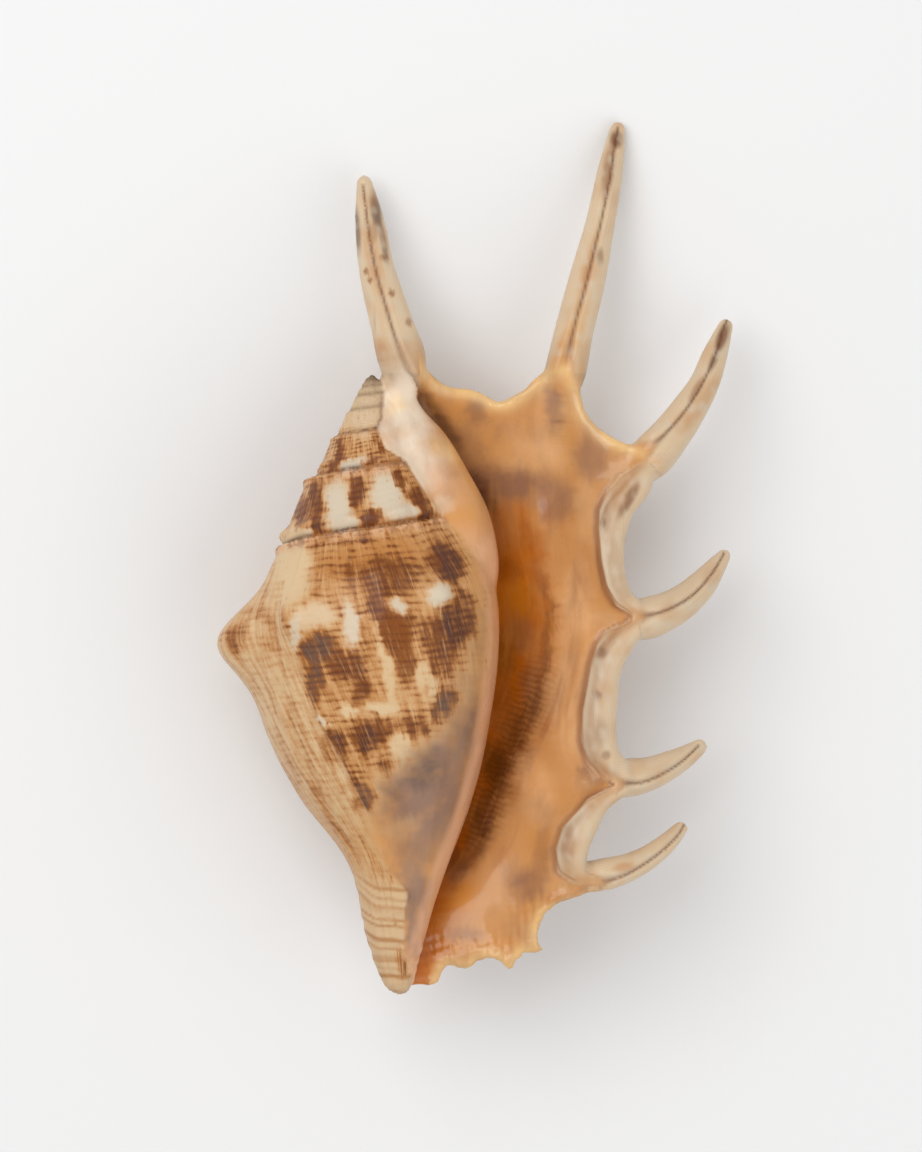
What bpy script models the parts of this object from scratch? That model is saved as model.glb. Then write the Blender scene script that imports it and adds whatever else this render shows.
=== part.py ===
"""A spider conch shell lying on its back, aperture up, as one closed solid.

The shell is shaped in its own axes, in millimetres: X across towards the flared outer lip, Y along the
shell from the canal tip to the spire, Z out of the aperture side. The coiled body with its spire, the
flared lip, the rolled rim of the lip, the six digits and the callus lobe are joined into one skin. The
skin is then turned into its resting pose and set down on the surface.
"""

import math

import bmesh
import bpy
import numpy as np
from mathutils import Matrix

MM = 0.001
MATERIAL_COLOUR = (0.72, 0.47, 0.27, 1.0)
MATERIAL_ROUGHNESS = 0.35

# The coiling axis runs from the canal tip at the origin to the apex.
APEX_Y = 128.0
APEX_LEAN_X = -6.0
DEPTH_SHARE = 0.9  # the body is a little flatter, front to back, than it is wide

# Each whorl is this much larger than the one before it. Angles run with the growth: 0 at the right
# (+X), 90 at the aperture side (+Z), 180 at the left and 270 at the back.
WHORL_GROWTH = 1.66
LAST_SUTURE_FROM_APEX = 35.4  # on the left side
LAST_WALL_ANGLE = 262.0  # where the last whorl's wall leaves the body and the hollow behind it ends
LAST_WALL_GROWTH = 0.10
INNER_SHRINK = 0.08

# The last whorl's half widths, from the suture (0) to the canal tip (1).
LEFT_WIDTHS = (
    (0.0, 19.8), (0.04, 21.9), (0.095, 24.2), (0.145, 26.4), (0.21, 27.6), (0.295, 27.4), (0.35, 26.4),
    (0.41, 25.0), (0.465, 23.1), (0.52, 20.6), (0.577, 17.6), (0.625, 14.2), (0.675, 10.8),
    (0.73, 8.4), (0.79, 7.3), (0.855, 6.5), (0.916, 5.1), (0.96, 3.8), (1.0, 2.3),
)
RIGHT_WIDTHS = (
    (0.0, 15.6), (0.07, 20.0), (0.12, 22.6), (0.19, 23.9), (0.31, 23.5), (0.437, 21.2), (0.54, 18.7),
    (0.642, 15.1), (0.7235, 11.6), (0.826, 7.5), (0.907, 4.9), (0.95, 3.5), (1.0, 2.1),
)
SPIRE_SLOPE = 0.6  # a spire whorl's half width over its distance from the apex
SPIRE_STEP = 0.075
APEX_BLUNTNESS = 0.8

# Knobs on the shoulder: angle, height along the shell, how proud, spread in degrees, spread along Y.
KNOBS = (
    (62.0, 82.5, 1.8, 9.0, 3.2),
    (126.0, 78.0, 2.8, 10.0, 4.0),
    (180.0, 72.5, 6.6, 15.0, 5.2),
    (238.0, 68.0, 7.5, 14.0, 6.5),
)

# The rim of the lip, from the first digit round to the canal: X, Y, Z and the radius of its roll.
RIM = (
    (2.6, 130.8, 0.3, 1.8), (5.6, 127.2, -1.0, 1.5), (9.3, 124.6, -3.0, 1.3), (15.4, 123.5, -4.5, 1.2),
    (20.6, 121.1, -5.5, 1.2), (25.5, 123.2, -5.2, 1.4), (29.8, 126.8, -5.0, 2.0),
    (33.6, 128.4, -5.0, 2.4), (35.6, 125.0, -4.6, 1.8), (37.4, 119.2, -3.8, 1.4),
    (42.0, 114.6, -2.8, 1.4), (46.6, 112.2, -2.2, 1.6), (50.5, 110.4, -2.0, 2.4),
    (49.2, 105.4, 0.2, 2.9), (45.4, 100.0, 2.2, 2.9), (43.5, 94.0, 3.2, 2.95), (43.5, 87.5, 3.4, 2.9),
    (45.4, 81.4, 3.2, 2.7), (48.8, 77.6, 2.2, 2.8), (46.2, 73.6, 3.2, 2.9), (43.0, 68.5, 4.0, 3.1),
    (41.4, 61.0, 4.4, 3.5), (41.0, 54.5, 4.4, 3.6), (41.9, 49.3, 4.0, 3.3), (45.2, 44.6, 2.8, 3.0),
    (40.6, 39.8, 3.8, 2.8), (38.0, 35.5, 4.2, 3.1), (35.7, 30.5, 4.4, 3.3), (35.4, 26.6, 4.0, 3.1),
    (37.4, 23.4, 2.6, 2.4), (31.8, 19.6, 1.0, 1.2), (28.8, 16.8, -0.4, 1.0), (27.7, 13.8, -1.4, 1.0),
    (27.6, 10.8, -2.2, 0.9), (28.7, 9.3, -2.6, 0.6), (25.2, 9.4, -3.6, 0.9), (23.6, 7.6, -4.2, 0.8),
    (22.6, 5.7, -4.6, 0.6), (20.6, 7.8, -5.2, 0.9), (16.0, 7.8, -6.2, 0.9), (13.6, 5.8, -6.6, 0.7),
    (11.0, 6.7, -6.8, 0.9), (8.8, 6.4, -6.8, 0.9), (7.0, 3.0, -6.4, 0.9), (3.6, 2.8, -5.2, 1.0),
    (0.6, 2.6, -3.6, 1.2),
)

# Depths of the lip's middle surface, away from its rim: X, Y, Z.
LIP_DEPTHS = (
    (21, 98, -15), (27, 90, -12.5), (30.5, 78, -9.5), (31.5, 68, -8.5), (29.5, 57, -8.5),
    (25.5, 47, -9), (21, 36, -9), (15.5, 27, -9.5), (9.5, 17, -9),
    (12, 118, -8.5), (22, 113, -9.5), (32, 115, -7), (36, 105, -7.5), (29, 103, -11.5), (38, 95, -3.5),
    (36.5, 85, -5), (37.5, 75, -2.5), (36.5, 65, -2.5), (35, 55, -2.2), (34.5, 45, -2), (30, 38, -3),
    (28, 28, -3.5), (26, 19, -3.8), (20, 17, -6.5), (18, 11, -7), (12, 12, -8), (6, 9, -8),
    (6, 112, -12.5), (10, 103, -17.5), (15, 96, -20), (20, 86, -20.5), (22.5, 75, -20), (23, 65, -19),
    (21, 55, -18), (18, 45, -17), (13.5, 35, -15), (9, 25, -13), (4, 12, -8.5),
    (-7, 98, -14), (2, 98, -20), (-7, 85, -19.8), (2, 85, -23.6), (11, 85, -24.4),
    (-8, 75, -25.6), (4, 73, -27), (14, 73, -25.5), (-8, 62, -25.8), (4, 60, -26.6), (14, 61, -24.5),
    (-6.5, 50, -21.8), (6, 48, -23), (-5, 38, -15.8), (5, 36, -18.5), (-2.8, 26, -7.6), (3, 24, -13),
    (-1.8, 14, -5.2),
)

# Where the lip's sheet starts, buried in the back of the body, from the spire to the canal.
HUB = (
    (-4, 121, -4), (-9, 112, -6.5), (-14, 104, -8.5), (-21, 88, -12.5), (-22, 76, -15.5),
    (-21, 64, -15.5), (-17, 50, -12), (-11, 38, -8), (-5, 26, -4), (-3, 14, -3), (-1, 5, -2.5),
)
LIP_THICKNESS = 3.3

# The digits from tip to root: X, Y, Z, radius.
DIGITS = (
    ((-7.4, 167.4, -12, 1.7), (-6.5, 161, -10, 2.9), (-4.7, 149, -6, 3.8), (-1.6, 137.8, -2, 4.5),
     (0.6, 130, 0.4, 4.9), (1.4, 126, 0.2, 3.8)),
    ((44.9, 178.4, -19, 1.8), (43.6, 171, -16.5, 2.65), (41.3, 159, -13, 3.15), (38.5, 147, -10, 3.9),
     (35.7, 136, -7.2, 4.1), (34.0, 128, -6, 4.3), (32, 121, -8.4, 3.2)),
    ((67.2, 137.8, -16, 1.7), (64.9, 131.6, -13, 2.75), (62.6, 125.6, -10.2, 3.2),
     (59.5, 120.5, -7.6, 3.75), (55.8, 115.4, -5.2, 4.2), (51.4, 110.4, -3.4, 4.6), (47, 106.6, -4.6, 3.2)),
    ((66.8, 90.3, -14, 1.6), (65, 87.9, -12, 2.3), (62.3, 84.5, -9, 3.1), (58.8, 81.3, -5.6, 3.6),
     (55.2, 79.1, -2.8, 4.0), (50.5, 77.4, -0.5, 4.4), (45, 76.3, -0.8, 3.2)),
    ((61.7, 50.9, -10, 1.8), (59, 49.1, -8, 2.4), (55.2, 47.1, -5, 3.1), (51, 45.4, -2.2, 3.6),
     (46.8, 44.7, 0, 4.1), (41, 44, -0.6, 3.2)),
    ((57.8, 34.2, -9, 1.6), (55.4, 31.6, -7, 2.15), (51.3, 28.4, -4.5, 2.6), (46.8, 26.1, -2, 3.05),
     (42.8, 25, -0.2, 3.4), (38.5, 24.3, 0.4, 3.3), (34.5, 24.5, -0.6, 2.8)),
)

# The digits run on over the back of the lip as low ribs, and the shoulder carries on as knobs there.
RIBS = (
    ((33, 125), (29, 112), (24, 99), (19, 87)),
    ((47, 107), (40, 100), (32, 93), (24, 86)),
    ((47, 77), (38, 75.5), (30, 74), (21, 71)),
    ((43, 44), (35, 45), (28, 47.5), (21, 51)),
    ((38, 24.5), (31, 26.5), (25, 29), (17, 34)),
)
RIB_PROUD = 3.0
RIB_SPREAD = 3.4
BACK_KNOBS = ((11.5, 63.5, 4.6, 5.5), (26.5, 65.0, 2.2, 4.5), (4.0, 44.0, 1.6, 4.0), (17.0, 44.5, 1.6, 4.0))

# The callus, a flattened lobe from the root of the first digit down over the spire to the body.
CALLUS = (
    (-0.8, 127.5, 0.2, 3.0), (0.0, 120, 0.2, 4.6), (3.0, 112, 0.6, 7.4), (6.5, 104, 1.2, 8.5),
    (9.5, 96, 1.4, 9.5), (10.0, 88, 0.0, 10.4), (9.0, 80, -2.0, 9.5),
)
CALLUS_FLATNESS = 0.85

# Meshing.
BODY_ANGLES = 96
BODY_RINGS = 150
TUBE_SIDES = 20
LIP_ALONG = 220
LIP_ACROSS = 56
VOXEL = 0.9
SMOOTHING_STEPS = 6
TRIANGLES_KEPT = 8000

# The resting pose, on two knobs of the back and the tip of the longest digit: degrees turned about X,
# then about Y.
REST_TURN_X = -7.164
REST_TURN_Y = -4.379


def hermite(knots, rows, wanted):
    """Rows at the wanted distances, on a smooth curve that has the given rows at its knots."""
    slopes = np.gradient(rows, knots, axis=0)
    span = np.clip(np.searchsorted(knots, wanted, side="right") - 1, 0, len(knots) - 2)
    width = (knots[span + 1] - knots[span])[..., None]
    t = (wanted - knots[span])[..., None] / width
    return (
        (2 * t**3 - 3 * t**2 + 1) * rows[span]
        + (t**3 - 2 * t**2 + t) * width * slopes[span]
        + (-2 * t**3 + 3 * t**2) * rows[span + 1]
        + (t**3 - t**2) * width * slopes[span + 1]
    )


def smooth_through(points, count):
    """Evenly spaced rows along a smooth curve through rows of numbers, whatever their width."""
    rows = np.array(points, float)
    steps = np.linalg.norm(np.diff(rows[:, : min(3, rows.shape[1])], axis=0), axis=1)
    knots = np.concatenate([[0.0], np.cumsum(steps)])
    return hermite(knots, rows, np.linspace(0.0, knots[-1], count))


def width_along(table, share):
    """Half width at each share of the way down the last whorl, smoothly through the table."""
    rows = np.array(table)
    return hermite(rows[:, 0], rows[:, 1:], share)[..., 0]


def body_radius(angle, y):
    """Distance of the body's surface from the coiling axis, for angles in degrees and heights Y."""
    from_apex = np.maximum(APEX_Y - y, 0.05)
    suture = LAST_SUTURE_FROM_APEX * WHORL_GROWTH ** ((angle - 180.0) / 360.0)
    whorls_down = np.log(from_apex / suture) / math.log(WHORL_GROWTH)
    within = whorls_down - np.floor(whorls_down)
    spire = from_apex * (SPIRE_SLOPE + SPIRE_STEP * (0.5 - within**1.2))
    spire += APEX_BLUNTNESS * (1 - np.exp(-from_apex / 0.6)) * np.exp(-from_apex / 6.0)
    share = np.clip((from_apex - suture) / (APEX_Y - suture), 0.0, 1.0)
    to_right = (1.0 + np.cos(np.radians(np.minimum(angle, 180.0)))) / 2.0
    last = width_along(LEFT_WIDTHS, share) * (1 - to_right) + width_along(RIGHT_WIDTHS, share) * to_right
    last *= 1 + LAST_WALL_GROWTH * np.clip((angle - 180.0) / (LAST_WALL_ANGLE - 180.0), 0.0, 1.0)
    last *= 1 - INNER_SHRINK * np.clip(-angle / 90.0, 0.0, 1.0)
    radius = np.where(whorls_down >= 0, last, spire)
    for knob_angle, knob_y, proud, spread, spread_y in KNOBS:
        radius += proud * np.exp(-0.5 * ((angle - knob_angle) / spread) ** 2
                                 - 0.5 * ((y - knob_y) / spread_y) ** 2)
    return radius


def new_object(name, points, faces):
    """A mesh object from points in millimetres and faces as rows of point numbers."""
    mesh = bpy.data.meshes.new(name)
    mesh.from_pydata((np.array(points, float) * MM).tolist(), [], faces)
    made = bpy.data.objects.new(name, mesh)
    bpy.context.scene.collection.objects.link(made)
    return made


def ring_faces(rings, sides):
    """Quads between rings of points, with both ends closed."""
    faces = [list(range(sides))[::-1]]
    for ring in range(rings - 1):
        first = ring * sides
        for side in range(sides):
            after = (side + 1) % sides
            faces.append([first + side, first + after, first + sides + after, first + sides + side])
    faces.append(list(range((rings - 1) * sides, rings * sides)))
    return faces


def make_body():
    """The spire and the last whorl, as rings round the coiling axis."""
    angles = LAST_WALL_ANGLE - 360.0 + 360.0 * (np.arange(BODY_ANGLES) + 0.5) / BODY_ANGLES
    spire_rings = APEX_Y - 0.25 * 1.045 ** np.arange(0, 115)
    heights = np.concatenate([spire_rings[spire_rings > 90.0], np.linspace(90.0, 0.0, BODY_RINGS)])
    angle, y = np.meshgrid(angles, heights)
    radius = body_radius(angle, y)
    x = APEX_LEAN_X * y / APEX_Y + radius * np.cos(np.radians(angle))
    z = DEPTH_SHARE * radius * np.sin(np.radians(angle))
    points = np.stack([x, y, z], axis=-1).reshape(-1, 3)
    return new_object("body", points, ring_faces(len(heights), BODY_ANGLES))


def make_tube(name, stations, count, flatness=1.0):
    """A tube through stations of X, Y, Z and radius, with round ends, flattened in depth if asked."""
    line = smooth_through(stations, count)
    centre, radius = line[:, :3], np.maximum(line[:, 3], 0.3)
    along = np.gradient(centre, axis=0)
    along /= np.linalg.norm(along, axis=1)[:, None]
    turns = np.radians([75, 50, 25])
    start = [(centre[0] - along[0] * radius[0] * math.sin(a), radius[0] * math.cos(a), along[0])
             for a in turns]
    middle = list(zip(centre, radius, along))
    end = [(centre[-1] + along[-1] * radius[-1] * math.sin(a), radius[-1] * math.cos(a), along[-1])
           for a in turns[::-1]]
    points = []
    side = np.cross(along[0], (0.0, 0.0, 1.0))
    for place, width, direction in start + middle + end:
        side = side - direction * side.dot(direction)
        side /= np.linalg.norm(side)
        other = np.cross(direction, side)
        for k in range(TUBE_SIDES):
            a = 2 * math.pi * k / TUBE_SIDES
            outward = width * (math.cos(a) * side + math.sin(a) * other)
            points.append(place + outward * (1.0, 1.0, flatness))
    return new_object(name, points, ring_faces(len(points) // TUBE_SIDES, TUBE_SIDES))


def thin_plate(points):
    """A smooth depth Z over X and Y that passes through every point given."""
    known = np.array(points, float)

    def bend(x, y):
        squared = (x[..., None] - known[:, 0]) ** 2 + (y[..., None] - known[:, 1]) ** 2
        return 0.5 * squared * np.log(np.maximum(squared, 1e-9))

    count = len(known)
    flat = np.column_stack([np.ones(count), known[:, 0], known[:, 1]])
    system = np.zeros((count + 3, count + 3))
    system[:count, :count] = bend(known[:, 0], known[:, 1])
    system[:count, count:] = flat
    system[count:, :count] = flat.T
    weights = np.linalg.solve(system, np.concatenate([known[:, 2], np.zeros(3)]))

    def depth(x, y):
        return bend(x, y) @ weights[:count] + weights[count] + weights[count + 1] * x + weights[count + 2] * y

    return depth


def lip_relief(x, y):
    """How much thicker the lip is on its back at X and Y: the ribs and the knobs."""
    relief = np.zeros_like(x)
    for rib in RIBS:
        line = smooth_through(rib, 60)
        away = np.hypot(x[..., None] - line[:, 0], y[..., None] - line[:, 1])
        nearest = np.argmin(away, axis=-1) / 59.0
        fade = np.cos(np.clip(nearest, 0.0, 1.0) * math.pi / 2)
        relief += RIB_PROUD * fade * np.exp(-0.5 * (away.min(axis=-1) / RIB_SPREAD) ** 2)
    for knob_x, knob_y, proud, spread in BACK_KNOBS:
        relief += proud * np.exp(-0.5 * ((x - knob_x) ** 2 + (y - knob_y) ** 2) / spread**2)
    return relief


def make_lip():
    """The flared lip, fanned from the back of the body to the rim, with its ribs and knobs."""
    rim = smooth_through(RIM, LIP_ALONG)
    hub = smooth_through(HUB, LIP_ALONG)
    depth = thin_plate([p[:3] for p in RIM] + list(LIP_DEPTHS) + list(HUB))
    across = np.linspace(0.0, 1.0, LIP_ACROSS)[None, :, None]
    flat = hub[:, None, :2] * (1 - across) + rim[:, None, :2] * across
    x, y = flat[..., 0], flat[..., 1]
    middle = depth(x, y)
    half = 0.5 * LIP_THICKNESS * (1 - 0.45 * across[..., 0] ** 12)
    front = np.stack([x, y, middle + half], axis=-1).reshape(-1, 3)
    back = np.stack([x, y, middle - half - lip_relief(x, y)], axis=-1).reshape(-1, 3)
    count = LIP_ALONG * LIP_ACROSS
    faces = []
    for i in range(LIP_ALONG - 1):
        for j in range(LIP_ACROSS - 1):
            a = i * LIP_ACROSS + j
            quad = [a, a + 1, a + LIP_ACROSS + 1, a + LIP_ACROSS]
            faces.append(quad)
            faces.append([point + count for point in quad[::-1]])
    last = count - LIP_ACROSS
    border = list(range(LIP_ACROSS)) + list(range(2 * LIP_ACROSS - 1, count, LIP_ACROSS))
    border += list(range(count - 2, last - 1, -1)) + list(range(last - LIP_ACROSS, 0, -LIP_ACROSS))
    for a, b in zip(border, border[1:] + border[:1]):
        faces.append([b, a, a + count, b + count])
    return new_object("lip", np.concatenate([front, back]), faces)


def merged(parts, name):
    """The parts' evaluated meshes as one object; the parts themselves are removed."""
    graph = bpy.context.evaluated_depsgraph_get()
    whole = bmesh.new()
    for part in parts:
        whole.from_mesh(part.evaluated_get(graph).to_mesh())
        bpy.data.objects.remove(part)
    bmesh.ops.recalc_face_normals(whole, faces=whole.faces)
    mesh = bpy.data.meshes.new(name)
    whole.to_mesh(mesh)
    whole.free()
    made = bpy.data.objects.new(name, mesh)
    bpy.context.scene.collection.objects.link(made)
    return made


def make_shell():
    """The whole shell as one skin, with few enough faces to be a light solid."""
    parts = [make_body(), make_lip(), make_tube("rim", RIM, 260)]
    parts += [make_tube(f"digit_{n + 1}", stations, 60) for n, stations in enumerate(DIGITS)]
    parts += [make_tube("callus", CALLUS, 60, CALLUS_FLATNESS)]
    whole = merged(parts, "whole")
    skin = whole.modifiers.new("skin", "REMESH")
    skin.mode = "VOXEL"
    skin.voxel_size = VOXEL * MM
    soften = whole.modifiers.new("soften", "SMOOTH")
    soften.factor = 0.5
    soften.iterations = SMOOTHING_STEPS
    fine = merged([whole], "fine")
    lighten = fine.modifiers.new("lighten", "DECIMATE")
    lighten.ratio = TRIANGLES_KEPT / (2 * len(fine.data.polygons))
    return merged([fine], "shell")


def lay_down(shell):
    """Turn the shell onto its back and set it on the surface, centred on the origin."""
    turn_x = Matrix.Rotation(math.radians(REST_TURN_X), 4, "X")
    turn_y = Matrix.Rotation(math.radians(REST_TURN_Y), 4, "Y")
    shell.data.transform(turn_y @ turn_x)
    places = np.array([point.co[:] for point in shell.data.vertices])
    low, high = places.min(axis=0), places.max(axis=0)
    shell.data.transform(Matrix.Translation((-(low[0] + high[0]) / 2, -(low[1] + high[1]) / 2, -low[2])))
    shell.data.shade_smooth()


def make_material():
    """A satin, peach to cream shell colour."""
    material = bpy.data.materials.new("shell")
    material.use_nodes = True
    surface = material.node_tree.nodes["Principled BSDF"]
    surface.inputs["Base Color"].default_value = MATERIAL_COLOUR
    surface.inputs["Roughness"].default_value = MATERIAL_ROUGHNESS
    surface.inputs["Metallic"].default_value = 0.0
    return material


def main():
    for old in list(bpy.data.objects):
        bpy.data.objects.remove(old)
    shell = make_shell()
    lay_down(shell)
    shell.data.materials.append(make_material())


main()
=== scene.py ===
"""Looks of a spider conch shell that lies on its back with its aperture up.

The shell is modelled in its own axes, in millimetres: X across towards the flared outer lip, Y along the
shell from the canal tip to the spire, Z out of the aperture side. It is then laid down in its resting
pose. Angles round the coiling axis run with the growth: 0 at the right, 90 at the aperture side, 180 at
the left and 270 at the back.
"""

import logging
import math
from dataclasses import dataclass, field
from enum import Enum

import bpy
import numpy as np
from mathutils import Matrix, Vector


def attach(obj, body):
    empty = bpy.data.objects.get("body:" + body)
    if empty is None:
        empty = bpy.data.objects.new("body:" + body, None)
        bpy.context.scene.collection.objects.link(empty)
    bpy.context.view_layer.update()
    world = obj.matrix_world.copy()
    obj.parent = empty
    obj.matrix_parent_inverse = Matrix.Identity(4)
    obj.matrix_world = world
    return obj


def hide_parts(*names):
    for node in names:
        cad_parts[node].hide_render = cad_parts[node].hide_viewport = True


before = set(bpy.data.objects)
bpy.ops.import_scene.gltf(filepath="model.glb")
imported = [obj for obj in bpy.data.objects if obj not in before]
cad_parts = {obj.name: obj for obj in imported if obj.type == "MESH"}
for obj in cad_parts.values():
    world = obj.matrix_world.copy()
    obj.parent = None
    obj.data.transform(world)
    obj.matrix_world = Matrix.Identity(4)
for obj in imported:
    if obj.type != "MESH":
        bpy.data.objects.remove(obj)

LOG = logging.getLogger("shell")
MM = 0.001
MERGE_DISTANCE = 0.000002

Points = tuple[tuple[float, ...], ...]
Array = np.ndarray


class Tone(Enum):
    """The shell's colours, as 8-bit display values."""

    CREAM = (218, 188, 146)
    STRAW = (210, 168, 118)
    TAN = (188, 124, 62)
    BONE = (216, 190, 156)
    WHITE = (212, 196, 172)
    BROWN = (102, 50, 18)
    GOLDEN = (130, 68, 8)
    PLUM = (76, 42, 34)
    SLATE = (98, 74, 62)
    PEACH = (207, 149, 92)
    APRICOT = (234, 182, 128)
    ROSE = (222, 170, 134)
    GOLD = (242, 204, 142)
    AMBER = (216, 150, 80)
    TAUPE = (146, 112, 90)
    SMOKE = (146, 104, 80)
    ORANGE = (200, 110, 22)
    RUST = (160, 76, 20)
    UMBER = (76, 38, 18)
    MILK = (228, 208, 184)
    HONEY = (220, 136, 20)

    def linear(self) -> Array:
        """The colour in scene-linear values."""
        value = np.array(self.value, float) / 255.0
        return np.where(value <= 0.04045, value / 12.92, ((value + 0.055) / 1.055) ** 2.4)


@dataclass(frozen=True)
class RestPose:
    """How the shell lies: on two knobs of its back and the tip of its longest digit."""

    turn_x: float = -7.164
    turn_y: float = -4.379
    shift: tuple[float, float, float] = (-17.140, -88.061, 39.155)

    def matrix(self) -> Matrix:
        """The turn and shift from the shell's own axes to the resting place.

        Returns:
            The move, in metres.
        """
        turn = Matrix.Rotation(math.radians(self.turn_y), 4, "Y")
        turn = turn @ Matrix.Rotation(math.radians(self.turn_x), 4, "X")
        return Matrix.Translation(Vector(self.shift) * MM) @ turn


# Curves and soft steps -------------------------------------------------------------------------------


def hermite(knots: Array, rows: Array, wanted: Array) -> Array:
    """Rows on a smooth curve.

    Args:
        knots: rising distances of the given rows.
        rows: what the curve passes through.
        wanted: the distances to look up.

    Returns:
        A row for each wanted distance.
    """
    slopes = np.gradient(rows, knots, axis=0)
    span = np.clip(np.searchsorted(knots, wanted, side="right") - 1, 0, len(knots) - 2)
    width = (knots[span + 1] - knots[span])[..., None]
    t = (wanted - knots[span])[..., None] / width
    return (
        (2 * t**3 - 3 * t**2 + 1) * rows[span]
        + (t**3 - 2 * t**2 + t) * width * slopes[span]
        + (-2 * t**3 + 3 * t**2) * rows[span + 1]
        + (t**3 - t**2) * width * slopes[span + 1]
    )


def smooth_through(points: Points, count: int) -> Array:
    """Evenly spaced rows along a smooth curve through rows of numbers.

    Args:
        points: rows of any width; the first three numbers set the spacing.
        count: how many rows to return.

    Returns:
        An array of count rows.
    """
    rows = np.array(points, float)
    steps = np.linalg.norm(np.diff(rows[:, : min(3, rows.shape[1])], axis=0), axis=1)
    knots = np.concatenate([[0.0], np.cumsum(steps)])
    return hermite(knots, rows, np.linspace(0.0, knots[-1], count))


def width_along(table: Points, share: Array) -> Array:
    """Half width at each share of the way down the last whorl."""
    rows = np.array(table)
    return hermite(rows[:, 0], rows[:, 1:], share)[..., 0]


def soft_step(value: Array, low: float, high: float) -> Array:
    """0 below low, 1 above high and a smooth rise between, for low less than high."""
    t = np.clip((value - low) / (high - low), 0.0, 1.0)
    return t * t * (3 - 2 * t)


def hump(value: Array, spread: float) -> Array:
    """A bell of height 1 at 0."""
    return np.exp(-0.5 * (value / spread) ** 2)


def ripple(*waves: Array) -> Array:
    """An uneven wave between -1 and 1 out of several even ones."""
    return sum(np.sin(wave + 1.7 * k) for k, wave in enumerate(waves)) / len(waves)


def curve_x(points: Points, y: Array) -> Array:
    """X at each Y along an edge given as X, Y points that run from the spire down."""
    table = np.array(points, float)[::-1]
    return np.interp(y, table[:, 1], table[:, 0])


@dataclass
class Trail:
    """A smooth line over the shell and how far each point is from it, seen from the aperture side."""

    points: Points
    count: int = 120
    reach: float = 12.0

    def measure(self, x: Array, y: Array) -> tuple[Array, Array, Array]:
        """How points lie against the line.

        Args:
            x: their X.
            y: their Y.

        Returns:
            The distance, the share of the way along, and the signed distance across.
        """
        line = smooth_through(self.points, self.count)[:, :2]
        away = np.full(x.shape, np.inf)
        share = np.zeros(x.shape)
        across = np.zeros(x.shape)
        low, high = line.min(axis=0) - self.reach, line.max(axis=0) + self.reach
        near = np.flatnonzero((x > low[0]) & (x < high[0]) & (y > low[1]) & (y < high[1]))
        px, py = x[near], y[near]
        best, where, side = away[near], share[near], across[near]
        for k in range(self.count - 1):
            edge = line[k + 1] - line[k]
            t = ((px - line[k, 0]) * edge[0] + (py - line[k, 1]) * edge[1]) / edge.dot(edge)
            t = np.clip(t, 0.0, 1.0)
            dx, dy = px - line[k, 0] - t * edge[0], py - line[k, 1] - t * edge[1]
            gap = np.hypot(dx, dy)
            closer = gap < best
            best[closer] = gap[closer]
            where[closer] = (k + t[closer]) / (self.count - 1)
            side[closer] = (np.sign(dx * edge[1] - dy * edge[0]) * gap)[closer]
        away[near], share[near], across[near] = best, where, side
        return away, share, across


# Modelling by hand -----------------------------------------------------------------------------------


def deselect_all() -> None:
    """Leave object mode with nothing selected."""
    if bpy.context.object and bpy.context.object.mode != "OBJECT":
        bpy.ops.object.mode_set(mode="OBJECT")
    bpy.ops.object.select_all(action="DESELECT")


def make_active(piece: bpy.types.Object) -> None:
    """Select one piece alone.

    Args:
        piece: the piece.
    """
    deselect_all()
    piece.select_set(True)
    bpy.context.view_layer.objects.active = piece


def apply_modifier(piece: bpy.types.Object, kind: str, **values: object) -> None:
    """Add a modifier with the given values and apply it.

    Args:
        piece: the piece it shapes.
        kind: the modifier's type.
        values: its settings.
    """
    make_active(piece)
    bpy.ops.object.modifier_add(type=kind)
    modifier = piece.modifiers[-1]
    for name, value in values.items():
        setattr(modifier, name, value)
    bpy.ops.object.modifier_apply(modifier=modifier.name)


def vertex_places(piece: bpy.types.Object) -> Array:
    """Read a piece's vertices.

    Args:
        piece: the piece.

    Returns:
        Their places, in millimetres.
    """
    places = np.empty(len(piece.data.vertices) * 3)
    piece.data.vertices.foreach_get("co", places)
    return places.reshape(-1, 3) / MM


def place_vertices(piece: bpy.types.Object, places: Array) -> None:
    """Move the piece's vertices to places in millimetres."""
    piece.data.vertices.foreach_set("co", (places * MM).ravel())
    piece.data.update()


def vertex_normals(piece: bpy.types.Object) -> Array:
    """Read a piece's vertex normals.

    Args:
        piece: the piece.

    Returns:
        The normals.
    """
    normals = np.empty(len(piece.data.vertices) * 3)
    piece.data.vertex_normals.foreach_get("vector", normals)
    return normals.reshape(-1, 3)


def add_sheet(name: str, columns: int, rows: int) -> tuple[bpy.types.Object, Array, Array]:
    """A flat grid to be wrapped into a form.

    Args:
        name: the piece's name.
        columns: faces across.
        rows: faces up.

    Returns:
        The piece, and for each vertex its share across and its share up.
    """
    deselect_all()
    bpy.ops.mesh.primitive_grid_add(x_subdivisions=columns, y_subdivisions=rows, size=2.0)
    piece = bpy.context.object
    piece.name = piece.data.name = name
    flat = vertex_places(piece) * MM
    return piece, (flat[:, 0] + 1) / 2, (flat[:, 1] + 1) / 2


def close_up(piece: bpy.types.Object) -> None:
    """Merge a wrapped sheet's meeting edges, fill its open ends and turn its faces outwards.

    Args:
        piece: the wrapped sheet.
    """
    make_active(piece)
    bpy.ops.object.mode_set(mode="EDIT")
    bpy.ops.mesh.select_all(action="SELECT")
    bpy.ops.mesh.remove_doubles(threshold=MERGE_DISTANCE)
    bpy.ops.mesh.fill_holes(sides=0)
    bpy.ops.mesh.select_all(action="SELECT")
    bpy.ops.mesh.normals_make_consistent(inside=False)
    bpy.ops.object.mode_set(mode="OBJECT")


# The forms of the shell ------------------------------------------------------------------------------


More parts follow.
